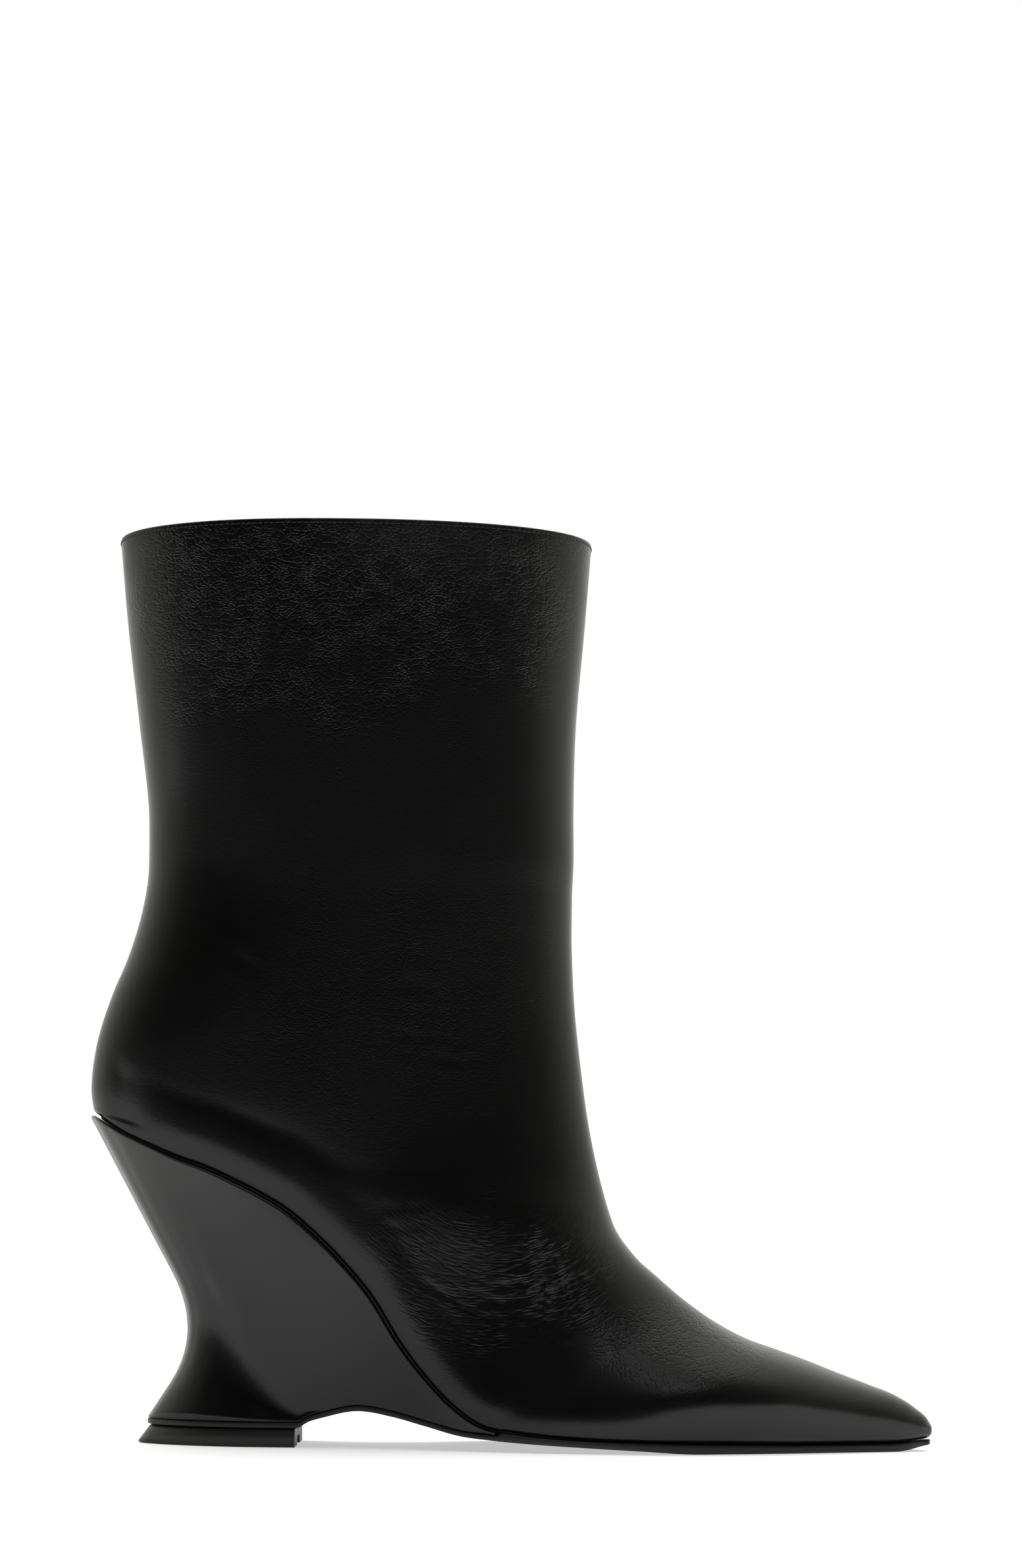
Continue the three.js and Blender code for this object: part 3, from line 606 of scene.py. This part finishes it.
# A soft-edged oval patch on the boot's side: 1 in its middle and 0 outside, frayed by noise.
side_patch, given, put = shader_group(
    "side_patch", {"X": 0.0, "Z": 0.0, "Half length": 0.02, "Half height": 0.01}, ("Share",))
tree = side_patch
where = object_point(tree)
spot = split(tree, where)
squares = []
for axis, reach in (("X", "Half length"), ("Z", "Half height")):
    off = math_node(tree, "DIVIDE", math_node(tree, "SUBTRACT", spot[axis], given[axis]), given[reach])
    squares.append(times(tree, off, off))
square = math_node(tree, "ADD", squares[0], squares[1])
fray = times(tree, noise(tree, where, 75.0, 4.0)["Fac"], 1.5)
frayed = math_node(tree, "ADD", square, fray)
tree.links.new(spread(tree, frayed, 2.1, 0.5, kind="SMOOTHERSTEP"), put["Share"])


def group_node(tree, group, inputs):
    """Uses a shader group in a material, and gives its outputs."""
    made = node(tree, "ShaderNodeGroup")
    made.node_tree = group
    for name, value in inputs.items():
        if isinstance(value, bpy.types.NodeSocket):
            tree.links.new(value, made.inputs[name])
        else:
            made.inputs[name].default_value = value
    return made.outputs


def new_material(name):
    """A material with only a Principled surface, and its tree."""
    made = bpy.data.materials.new(name)
    made.use_nodes = True
    tree = made.node_tree
    return made, tree, tree.nodes["Principled BSDF"]


def bump(tree, height, strength, distance, under=None):
    """The normal of a surface with a height on it, over another one where there is one."""
    inputs = {"Height": height, "Strength": strength, "Distance": distance}
    if under is not None:
        inputs["Normal"] = under
    return node(tree, "ShaderNodeBump", inputs).outputs[0]


def grained(name, cells, strength, distance, dark, pale, roughness, stretch=1.0):
    """An evenly grained material: its cells to the metre, its bump, two colours and its roughness."""
    made, tree, surface = new_material(name)
    grain = group_node(tree, calf_grain, {"Cells": cells, "Level stretch": stretch})
    tree.links.new(bump(tree, grain["Height"], strength, distance), surface.inputs["Normal"])
    tree.links.new(blend(tree, grain["Unevenness"], dark, pale), surface.inputs["Base Color"])
    surface.inputs["Roughness"].default_value = roughness
    return made, tree, surface


black_calf, tree, surface = new_material("black_calf")
grain = group_node(tree, calf_grain, {"Cells": 900.0, "Level stretch": 1.6})
patch_columns = ("X", "Z", "Half length", "Half height")
patches = {
    "shaft": (-0.052, 0.262, 0.085, 0.07),
    "ankle": (-0.034, 0.125, 0.06, 0.045),
    "vamp": (-0.006, 0.05, 0.038, 0.032),
    "flex": (0.015, 0.051, 0.018, 0.019),
    "toe": (0.05, 0.032, 0.03, 0.014),
}
spots = {
    name: group_node(tree, side_patch, dict(zip(patch_columns, patch)))["Share"]
    for name, patch in patches.items()
}
level_wrinkles = group_node(
    tree, calf_wrinkles, {"Centre X": -0.05, "Centre Z": 0.9, "Across": 0.0008, "Along": 0.0011})["Height"]
arched_wrinkles = group_node(
    tree, calf_wrinkles,
    {"Centre X": -0.0045, "Centre Z": 0.095, "Across": 0.00085, "Along": 0.0048})["Height"]
level_share = math_node(tree, "MAXIMUM", spots["shaft"], times(tree, spots["ankle"], 0.2))
level_share = math_node(tree, "MAXIMUM", level_share, spots["toe"])
vamp_share = times(tree, spots["vamp"], 0.32)
flex_share = times(tree, spots["flex"], 0.75)
arched_share = math_node(tree, "ADD", vamp_share, flex_share)
fine_bump = bump(tree, grain["Height"], 0.3, 0.00005)
level_bump = bump(tree, times(tree, level_wrinkles, level_share), 0.9, 0.0001, fine_bump)
arched_bump = bump(tree, times(tree, arched_wrinkles, arched_share), 1.0, 0.0001, level_bump)
tree.links.new(arched_bump, surface.inputs["Normal"])
blacks = ((0.0026, 0.0028, 0.0026, 1), (0.0042, 0.0044, 0.0041, 1))
tree.links.new(blend(tree, grain["Unevenness"], *blacks), surface.inputs["Base Color"])
collar = spread(tree, split(tree, object_point(tree))["Z"], 0.236, 0.257)
smooth_spots = spread(tree, grain["Unevenness"], 0.45, 0.62)
matt = times(tree, times(tree, collar, smooth_spots), 0.16)
dull = spread(tree, grain["Unevenness"], 0.0, 1.0, 0.22, 0.3)
tree.links.new(math_node(tree, "ADD", dull, matt), surface.inputs["Roughness"])
surface.inputs["IOR"].default_value = 1.42
upper.data.materials.append(black_calf)

# Lining
# A thin dark lining leather from just under the turned edge down to the sock. It is glued to the back of
# the upper, and its top edge is stitched to it.
lining_thick = wall - skin
lining_drop = 1.3
lining_places = even_rows(4.0, 4.0, 2.5, 2.0)
lining_places = lining_places[lining_places > lining_drop + 1]
lining_places = np.concatenate([[lining_drop, lining_drop + 0.8], lining_places])
lining_sections = section_at(lining_places)
lining_grid = even_columns(lining_sections, 112, (0, 1.0, 2.4))
lining_points, lining_number = weld(lining_grid)
lining_normals = normals_of(lining_points, quads_of(lining_number))
lining_rows = slice(int(np.argmax(lining_places > knots[heel_row] - smallest)), len(lining_places))
lining_line = inset(*outline_of(lining_sections, lining_rows), -wall)
inside = lining_points - lining_normals * wall
for line, edge in zip(lining_line, (0, -1)):
    inside[lining_number[lining_rows, edge]] = on_bed(line[:, 0], line[:, 1], 0.0)
top_edge = []
top_line = lining_points[lining_number[0]]
top_normal = lining_normals[lining_number[0]] * (1, 1, 0)
top_normal /= np.linalg.norm(top_normal, axis=1, keepdims=True)
inside[lining_number[0]] = top_line - top_normal * wall
tucked = 3
for turn in np.linspace(0, math.pi, 6)[1:]:
    depth = wall - (1 - math.cos(turn)) * lining_thick / 2
    top_edge.append(top_line - top_normal * depth + (0, 0, math.sin(turn) * lining_thick / 2))
top_edge.append(top_line - top_normal * (skin + 0.05) - (0, 0, tucked))
top_points, top_number = weld(np.array(top_edge))
top_number = top_number + len(inside)
lining_quads = np.concatenate([
    quads_of(lining_number)[:, ::-1],
    quads_of(np.concatenate([top_number[::-1], lining_number[:1]]))[:, ::-1],
])
lining = make_piece("lining", np.concatenate([inside, top_points]), lining_quads, "upper")
lining_leather, tree, surface = grained(
    "lining_leather", 620.0, 0.5, 0.0001, (0.020, 0.017, 0.014, 1), (0.034, 0.029, 0.024, 1), 0.62, 1.1)
lining.data.materials.append(lining_leather)

# Collar seam
# A row of fine black thread just below the turned edge, which holds the lining. Each stitch is a short
# bead of thread that dips into the leather at both ends.
stitch_pitch = 1.6
stitch_drop = 1.25
thread = 0.2
seam_section = section_at(np.array([stitch_drop]))
seam_line = even_columns(seam_section, 400, (0, 0.5, 1.0))[0]
seam_run = np.concatenate([[0], np.cumsum(np.linalg.norm(np.diff(seam_line, axis=0), axis=1))])
stitch_count = int(seam_run[-1] / stitch_pitch)
stitch_share = 0.43
beads = 7
sides = 6
stitch_points = []
stitch_quads = []
for k in range(stitch_count):
    middle = seam_run[-1] * (k + 0.5) / stitch_count
    stops = middle + np.linspace(-stitch_share, stitch_share, beads) * stitch_pitch
    stops = stops % seam_run[-1]
    line = np.stack([np.interp(stops, seam_run, seam_line[:, i]) for i in range(3)], -1)
    ahead = line[-1] - line[0]
    ahead /= np.linalg.norm(ahead)
    out = np.cross(ahead, (0, 0, 1.0))
    out /= np.linalg.norm(out)
    for step in range(beads):
        swell = math.sin(math.pi * (step + 0.5) / beads)
        centre = line[step] + out * thread * (swell - 0.75)
        radius = thread * (0.45 + 0.55 * swell)
        for turn in range(sides):
            angle = turn * 2 * math.pi / sides
            spoke = out * math.cos(angle) + np.array((0, 0, math.sin(angle)))
            stitch_points.append(centre + radius * spoke)
    for step in range(beads - 1):
        for turn in range(sides):
            a = (k * beads + step) * sides + turn
            b = (k * beads + step) * sides + (turn + 1) % sides
            stitch_quads.append((a, b, b + sides, a + sides))
stitches = make_piece("collar_stitches", stitch_points, stitch_quads, "upper")
black_thread, tree, surface = new_material("black_thread")
twist = node(tree, "ShaderNodeTexWave", {"Scale": 900.0, "Distortion": 1.0}, bands_direction="DIAGONAL")
tree.links.new(object_point(tree), twist.inputs["Vector"])
tree.links.new(bump(tree, twist.outputs["Fac"], 0.5, 0.00005), surface.inputs["Normal"])
shade = ramp(tree, twist.outputs["Fac"], ((0.0, 0.006), (1.0, 0.016)), "EASE")
tree.links.new(shade, surface.inputs["Base Color"])
surface.inputs["Roughness"].default_value = 0.55
stitches.data.materials.append(black_thread)

# Sock
# The insole board with its sock of thin dark leather, which lies on the bed inside the upper.
insole_thick = 2.5
gap = 0.3
board_outer, board_inner = inset(sole_outer, sole_inner, -(wall + gap))
sock_profile = ((0, 0), (0.3, 0.1), (insole_thick - 0.4, 1.7), (insole_thick, 2.1))
rings = []
for outer, inner in zip(board_outer, board_inner):
    ring = []
    for side, edge in ((-1, outer), (1, inner)):
        half_line = []
        for above_bed, back_in in sock_profile:
            y = edge[1] - side * min(back_in, abs(outer[1] - inner[1]) * 0.4)
            half_line.append(on_bed(edge[0], y, above_bed))
        ring.append(half_line)
    across = [mix(ring[0][-1], ring[1][-1], share) for share in np.linspace(0, 1, 14)[1:-1]]
    rings.append(ring[0] + across + ring[1][::-1])
rings = np.array(rings)
sock_points, sock_number = weld(rings)
sock = make_piece("sock", sock_points, quads_of(sock_number)[:, ::-1], "insole")
sock_leather, tree, surface = grained(
    "sock_leather", 700.0, 0.45, 0.0001, (0.018, 0.015, 0.012, 1), (0.040, 0.034, 0.027, 1), 0.5)
sock.data.materials.append(sock_leather)

# Wedge
# A one-piece wedge under heel and arch, smooth and semi-gloss. Its back is hollowed forward below the
# heel's seat and flares out again to the base that the outsole and the top lift are fixed to.
heel_base = 5.4
arch_thick = 1.5
arch_rise = 5.0
toe_spring = 1.9
back_hollow = 20.6
side_hollow = 6.5
top_rim = 1.4
edge_round = 1.2
wedge_front = 0.4841
tip_thick = 0.6
curve_up = 0.27
curve_down = 0.6
# The underside in x, with its shares of the heel's base, the arch's rise and the toe's spring.
underside = [
    (0.0, 1, 0, 0), (0.2524, 1, 0, 0), (0.2656, 1, 0.34, 0), (0.2858, 1, 0.64, 0),
    (0.3242, 1, 0.99, 0), (0.3635, 0.9, 0.81, 0), (0.4027, 0.7, 0.54, 0), (0.4428, 0.45, 0.33, 0),
    (0.4804, 0.35, 0.26, 0), (0.5126, 0.28, 0.22, 0), (0.5725, 0.18, 0.17, 0), (0.6464, 0.09, 0.09, 0),
    (0.7195, 0, 0, 0), (0.9529, 0, 0, 0), (0.9979, 0, 0, 1),
]
base_columns = ("x", "topX", "outer", "inner", "waist", "forward", "inward")
base = [
    (0.0725, 0.0041, 0.0, 0.0, 0.283, 1, 0),
    (0.0786, 0.0149, 0.07, 0.07, 0.29, 0.985, 0.22),
    (0.0938, 0.0397, 0.13, 0.13, 0.32, 0.9, 0.5),
    (0.1185, 0.0814, 0.19, 0.19, 0.33, 0.7, 0.85),
    (0.1537, 0.133, 0.24, 0.24, 0.27, 0.4, 1),
    (0.1991, 0.1908, 0.268, 0.266, 0.16, 0.12, 0.72),
    (0.2507, 0.2487, 0.2641, 0.2564, 0.06, 0, 0.2),
    (0.3024, 0.3024, 0.259, 0.2385, 0.02, 0, 0),
    (0.3478, 0.3478, 0.2692, 0.2308, 0.02, 0, 0),
    (0.3932, 0.3932, 0.3026, 0.2487, 0.02, 0, 0),
    (0.4428, 0.4428, 0.3667, 0.3179, 0.02, 0, 0),
    (0.4841, 0.4841, 0.4256, 0.3923, 0.02, 0, 0),
]
sole_bottom = smooth(
    [row[0] * length for row in underside],
    [row[1] * heel_base + row[2] * arch_rise + row[3] * toe_spring for row in underside])
base_knots = [0.0]
for a, b in zip(base, base[1:]):
    base_knots.append(base_knots[-1] + math.hypot((b[0] - a[0]) * length, (b[2] - a[2]) * ball_width))
base_units = (length, length, ball_width, ball_width, 1, back_hollow, side_hollow)
base_line = {
    name: smooth(base_knots, [row[k] * base_units[k] for row in base])
    for k, name in enumerate(base_columns)
}


def base_sides(at):
    """The wedge's base in plan at some places along it: its outer and its inner side."""
    x = base_line["x"](at)
    return np.stack([x, -base_line["outer"](at)], -1), np.stack([x, base_line["inner"](at)], -1)


def under_wedge(x):
    return np.minimum(sole_bottom(x) + arch_thick, bed_height(x) - 2 * gap - tip_thick)


fine_base = np.linspace(0, base_knots[-1], 4000)
wedge_tip = float(np.interp(wedge_front * length, sole_line["backX"](places[sole_rows]), places[sole_rows]))
wedge_places = np.concatenate([
    places[(places > knots[heel_row] - smallest) & (places < wedge_tip - 0.4)], [wedge_tip]])
wedge_sections = section_at(wedge_places)
top_outer, top_inner = outline_of(wedge_sections)
top_outer, top_inner = inset(
    top_outer, top_inner, lambda normal: top_rim * np.maximum(-normal[:, 0], 0) ** 2)
cap_outer, cap_inner = inset(top_outer, top_inner, -edge_round)
base_places = np.interp(wedge_sections["backX"], base_line["topX"](fine_base), fine_base)
base_outer, base_inner = base_sides(base_places)


def wedge_side(side, bottom, top, cap):
    """One flank of the wedge, from its base up to the cap, a row of points for each station."""
    low = np.stack([bottom[:, 0], bottom[:, 1], under_wedge(bottom[:, 0]) + gap], -1)
    high = on_bed(top[:, 0], top[:, 1], -gap)
    waist = mix(low, high, base_line["waist"](base_places)[:, None])
    waist[:, 0] += base_line["forward"](base_places)
    waist[:, 1] -= side * base_line["inward"](base_places)
    up = mix(waist, high, curve_up)
    down = mix(waist, low, curve_down)
    edge = np.minimum(edge_round, 0.3 * np.linalg.norm(high - low, axis=1))[:, None]
    to_waist = waist - high
    shoulder = high + to_waist / np.linalg.norm(to_waist, axis=1, keepdims=True) * edge
    lid = mix(top, cap, edge / edge_round)
    lid = on_bed(lid[:, 0], lid[:, 1], -gap)
    line = [mix(low, down, t) for t in np.linspace(0, 1, 5)[:-1]]
    line += [(1 - t) ** 2 * down + 2 * t * (1 - t) * waist + t * t * up for t in np.linspace(0, 1, 15)]
    line += [mix(up, shoulder, t) for t in np.linspace(0, 1, 15)[1:-1]]
    line += [(1 - t) ** 2 * shoulder + 2 * t * (1 - t) * high + t * t * lid for t in np.linspace(0, 1, 6)]
    return np.stack(line, 1)


flank_outer = wedge_side(-1, base_outer, top_outer, cap_outer)
flank_inner = wedge_side(1, base_inner, top_inner, cap_inner)
across = [mix(flank_outer[:, -1], flank_inner[:, -1], t) for t in np.linspace(0, 1, 6)[1:-1]]
wedge_grid = np.concatenate([flank_outer, np.stack(across, 1), flank_inner[:, ::-1]], 1)
wedge_grid = np.concatenate([wedge_grid, wedge_grid[:, :1]], 1)
wedge_points, wedge_number = weld(wedge_grid)
half_count = (wedge_number.shape[1] - 1) // 2
front_ring = wedge_number[-1, :-1]
front_cap = np.stack([front_ring[:half_count], front_ring[::-1][:half_count]], -1)
wedge_quads = np.concatenate([quads_of(wedge_number), quads_of(front_cap)[:, ::-1]])
wedge = make_piece("wedge_block", wedge_points, wedge_quads, "wedge")
# A painted highlight: the base colour turns paler high up at the back, where light pools on the wedge.
wedge_finish_and_painted_highlight, tree, surface = grained(
    "wedge_finish_and_painted_highlight", 1400.0, 0.25, 0.00004, (0.0014, 0.0014, 0.0014, 1), (0.0026, 0.0026, 0.0026, 1), 0.28)
place = split(tree, object_point(tree))
high_up = spread(tree, place["Z"], 0.045, 0.092)
far_back = spread(tree, place["X"], -0.055, -0.11)
even_tone = surface.inputs["Base Color"].links[0].from_socket
tone = blend(tree, times(tree, high_up, far_back), even_tone, (0.05, 0.05, 0.049, 1))
tree.links.new(tone, surface.inputs["Base Color"])
wedge.data.materials.append(wedge_finish_and_painted_highlight)

# Outsole
# One thin sheet of black sole leather from the heel's base through the arch to the toe, cemented to the
# wedge and the upper, with a rounded and inked edge.
sole_edge = 0.35
sheet_behind = wedge_front * length + gap
first_step = 1.2
line_x = sole_outer[:, 0]
front_part = line_x[line_x > sheet_behind + first_step]
sheet_x = np.concatenate([base_outer[:, 0], [sheet_behind, sheet_behind + first_step], front_part])
sheet_sides = []
for base_side, sole_side in ((base_outer, sole_outer), (base_inner, sole_inner)):
    front_y = np.interp(sheet_x[len(base_outer):], line_x, sole_side[:, 1])
    sheet_sides.append(np.stack([sheet_x, np.concatenate([base_side[:, 1], front_y])], -1))
sheet_top = np.where(sheet_x < sheet_behind + 1e-3, under_wedge(sheet_x), bed_height(sheet_x) - gap)
sheet_low = sole_bottom(sheet_x)


def level_rings(levels):
    """Closed rings round a flat piece, from its two sides in plan and its height, going up."""
    outer = [np.column_stack([line, np.broadcast_to(z, len(line))]) for line, other, z in levels]
    inner = [np.column_stack([line, np.broadcast_to(z, len(line))]) for other, line, z in levels]
    return np.stack(outer + inner[::-1] + outer[:1], 1)


sheet_levels = []
for share_in, share_up in ((1, 0), (0.3, 0.0), (0, 0.3), (0, 0.7), (0.3, 1.0), (1, 1)):
    moved = inset(*sheet_sides, -sole_edge * share_in)
    sheet_levels.append((*moved, sheet_low + (sheet_top - sheet_low) * share_up))
sheet_points, sheet_number = weld(level_rings(sheet_levels))
outsole = make_piece("outsole_sheet", sheet_points, quads_of(sheet_number), "outsole")
sole_leather, tree, surface = grained(
    "sole_leather", 900.0, 0.3, 0.00008, (0.006, 0.006, 0.006, 1), (0.012, 0.012, 0.012, 1), 0.5)
outsole.data.materials.append(sole_leather)

# Top lift
# The wearing piece of hard black rubber under the heel. It widens towards the floor, and its front face
# has a small arched recess.
lift_height = 5.1
lift_front = 0.2507
flare_back = 2.7
flare_side = 0.7
lift_inset = 0.8
lift_bevel = 0.3
recess_width = 13.0
recess_height = 2.6
recess_depth = 3.0
lift_end = float(np.interp(lift_front * length, base_line["x"](fine_base), fine_base))
recess_back = float(np.interp(lift_front * length - recess_depth, base_line["x"](fine_base), fine_base))
lift_places = np.concatenate([base_places[base_places < recess_back - 0.8], [recess_back, lift_end]])


def flare(normal):
    return mix(flare_side, flare_back, np.maximum(-normal[:, 0], 0) ** 2)


lift_levels = [
    (0.0, lambda normal: flare(normal) - lift_bevel),
    (0.3, lambda normal: flare(normal) - 0.4 * lift_bevel),
    (lift_bevel, flare),
    (lift_height - 0.3, lambda normal: mix(-lift_inset, flare(normal), 0.06)),
    (lift_height, -lift_inset - 0.25),
]
lift_grid = level_rings([(*inset(*base_sides(lift_places), out_by), z) for z, out_by in lift_levels])
lift_points, lift_number = weld(lift_grid)
front_x = lift_front * length
front_edge = lift_grid[-1, :len(lift_levels) + 1]
front_half = abs(front_edge[:, 1])
front_z = front_edge[:, 2]
half_recess = recess_width / 2
corner = recess_height / 2
corner_in = corner * (1 - np.cos(np.linspace(0, math.pi / 2, 6)[1:]))
recess_y = np.concatenate([
    [-half_recess], corner_in - half_recess,
    np.linspace(corner - half_recess, half_recess - corner, 6)[1:-1],
    half_recess - corner_in[::-1], [half_recess]])
recess_top = recess_height - corner + np.sqrt(
    np.maximum(corner ** 2 - np.maximum(abs(recess_y) - half_recess + corner, 0) ** 2, 0))
face_points = []
face_quads = []


def add_face(*corners):
    """One flat face of the lift's front and its recess."""
    start = len(lift_points) + len(face_points)
    face_points.extend(corners)
    face_quads.append((start, start + 1, start + 2, start + 3))


for k in range(len(lift_levels)):
    for side in (-1, 1):
        low, high = front_z[k], front_z[k + 1]
        ends = [(front_x, side * half_recess, low), (front_x, side * front_half[k], low),
                (front_x, side * front_half[k + 1], high), (front_x, side * half_recess, high)]
        add_face(*(ends if side > 0 else ends[::-1]))
back_x = front_x - recess_depth
for a, b, za, zb in zip(recess_y, recess_y[1:], recess_top, recess_top[1:]):
    add_face((front_x, a, za), (front_x, b, zb), (front_x, b, lift_height), (front_x, a, lift_height))
    add_face((back_x, a, za), (back_x, b, zb), (front_x, b, zb), (front_x, a, za))
    add_face((back_x, a, 0), (back_x, b, 0), (back_x, b, zb), (back_x, a, za))
for side in (-1, 1):
    ends = [(back_x, side * half_recess, 0), (front_x, side * half_recess, 0),
            (front_x, side * half_recess, recess_top[0]), (back_x, side * half_recess, recess_top[0])]
    add_face(*(ends if side > 0 else ends[::-1]))
    ends = [(back_x, side * half_recess, 0), (front_x, side * half_recess, 0),
            (front_x, side * front_half[0], 0), (back_x, side * abs(lift_grid[-2, 0, 1]), 0)]
    add_face(*(ends[::-1] if side > 0 else ends))
# The front strip of the underside is left out, because the recess opens there.
lift_quads = np.concatenate([quads_of(lift_number)[:-1], face_quads])
top_lift = make_piece(
    "top_lift_rubber", np.concatenate([lift_points, face_points]), lift_quads, "top_lift")
lift_rubber, tree, surface = grained(
    "lift_rubber", 1100.0, 0.4, 0.00006, (0.012, 0.012, 0.0115, 1), (0.020, 0.020, 0.019, 1), 0.45)
top_lift.data.materials.append(lift_rubber)

# Studio
# A white floor that mirrors softly in the leather's lower faces, a softbox above, a small light in front,
# a bright backdrop and a dark room. The camera stands low at the outer side, as in the photograph.
floor_mesh = bpy.data.meshes.new("floor")
floor_mesh.from_pydata([(-6, -6, 0), (6, -6, 0), (6, 9, 0), (-6, 9, 0)], [], [(0, 1, 2, 3)])
floor = add_object("floor", floor_mesh)
floor_white, tree, surface = new_material("floor_white")
# The floor glows by its emission. To the camera it is evenly white; to other rays it is dark in front and
# carries a painted shade beside the boot, which the leather and the wedge mirror.
place = split(tree, object_point(tree))
lit = spread(tree, place["Y"], -0.7, -0.3)
seen = node(tree, "ShaderNodeLightPath").outputs["Is Camera Ray"]
shade_beside_boot = times(tree, spread(tree, place["X"], 0.02, -0.04), spread(tree, place["Y"], -0.15, -0.03))
shade = math_node(tree, "SUBTRACT", 1.0, times(tree, shade_beside_boot, 0.3))
bright = math_node(tree, "MAXIMUM", times(tree, lit, shade), seen)
tint = blend(tree, bright, (0.05, 0.05, 0.05, 1), (0.55, 0.55, 0.55, 1))
tree.links.new(tint, surface.inputs["Base Color"])
surface.inputs["Roughness"].default_value = 0.8
surface.inputs["Emission Color"].default_value = (1, 1, 1, 1)
tree.links.new(times(tree, bright, 0.5), surface.inputs["Emission Strength"])
floor.data.materials.append(floor_white)

world = bpy.data.worlds.new("studio")
bpy.context.scene.world = world
world.use_nodes = True
tree = world.node_tree
tree.nodes.clear()
seen = node(tree, "ShaderNodeLightPath").outputs["Is Camera Ray"]
direction = split(tree, node(tree, "ShaderNodeTexCoord").outputs["Generated"])
to_right = times(tree, direction["X"], 0.08)
room = spread(tree, math_node(tree, "ADD", direction["Y"], to_right), -1.0, 1.0)
room_levels = (
    (0.0, 0.004), (0.15, 0.02), (0.3, 0.12), (0.5, 0.5), (0.65, 0.76), (0.8, 0.8), (0.92, 0.88), (1.0, 0.92))
level = math_node(tree, "MAXIMUM", ramp(tree, room, room_levels, "LINEAR"), seen)
paper = blend(tree, seen, (0.985, 1.0, 0.93, 1), (1, 1, 1, 1))
backdrop = node(tree, "ShaderNodeBackground", {"Color": paper, "Strength": level})
node(tree, "ShaderNodeOutputWorld", {"Surface": backdrop.outputs[0]})


def softbox(name, place, aim, width, height, power):
    """A flat studio light at a place, turned towards a point."""
    lamp = bpy.data.lights.new(name, "AREA")
    lamp.shape = "RECTANGLE"
    lamp.size = width
    lamp.size_y = height
    lamp.energy = power
    made = add_object(name, lamp)
    made.location = place
    look = np.array(aim, float) - np.array(place, float)
    made.rotation_euler = (
        math.atan2(math.hypot(look[0], look[1]), -look[2]), 0, math.atan2(look[1], look[0]) - math.pi / 2)


softbox("overhead", (0.25, 0.15, 1.9), (0.0, 0.0, 0.1), 1.6, 1.6, 3)
softbox("key", (0.3, -1.0, 1.45), (0.0, 0.0, 0.1), 0.55, 0.55, 1.1)
ceiling = bpy.data.lights.new("ceiling", "SUN")
ceiling.energy = 3.2
ceiling.angle = 1.2
ceiling_lamp = add_object("ceiling", ceiling)
ceiling_lamp.rotation_euler = (-0.25, 0.12, 0)
ceiling_lamp.visible_glossy = False

camera_data = bpy.data.cameras.new("camera")
camera = add_object("camera", camera_data)
bpy.context.scene.camera = camera
distance = 1.1
frame_height = 0.4493
tilt = math.radians(2.6)
roll = math.radians(0.7)
sensor = 36
camera_data.sensor_width = sensor
camera_data.lens = sensor * distance / frame_height
camera_data.shift_y = 0.1770
camera_data.clip_end = 50
forward = np.array([0, math.cos(tilt), math.sin(tilt)])
right = np.array([1.0, 0, 0])
up = np.cross(right, forward)
rolled_right = right * math.cos(roll) + up * math.sin(roll)
rolled_up = up * math.cos(roll) - right * math.sin(roll)
turned = np.eye(4)
turned[:3, 0] = rolled_right
turned[:3, 1] = rolled_up
turned[:3, 2] = -forward
turned[:3, 3] = (-0.0009, -distance, 0.060)
camera.matrix_world = Matrix(turned.tolist())
bpy.context.scene.view_settings.view_transform = "Standard"
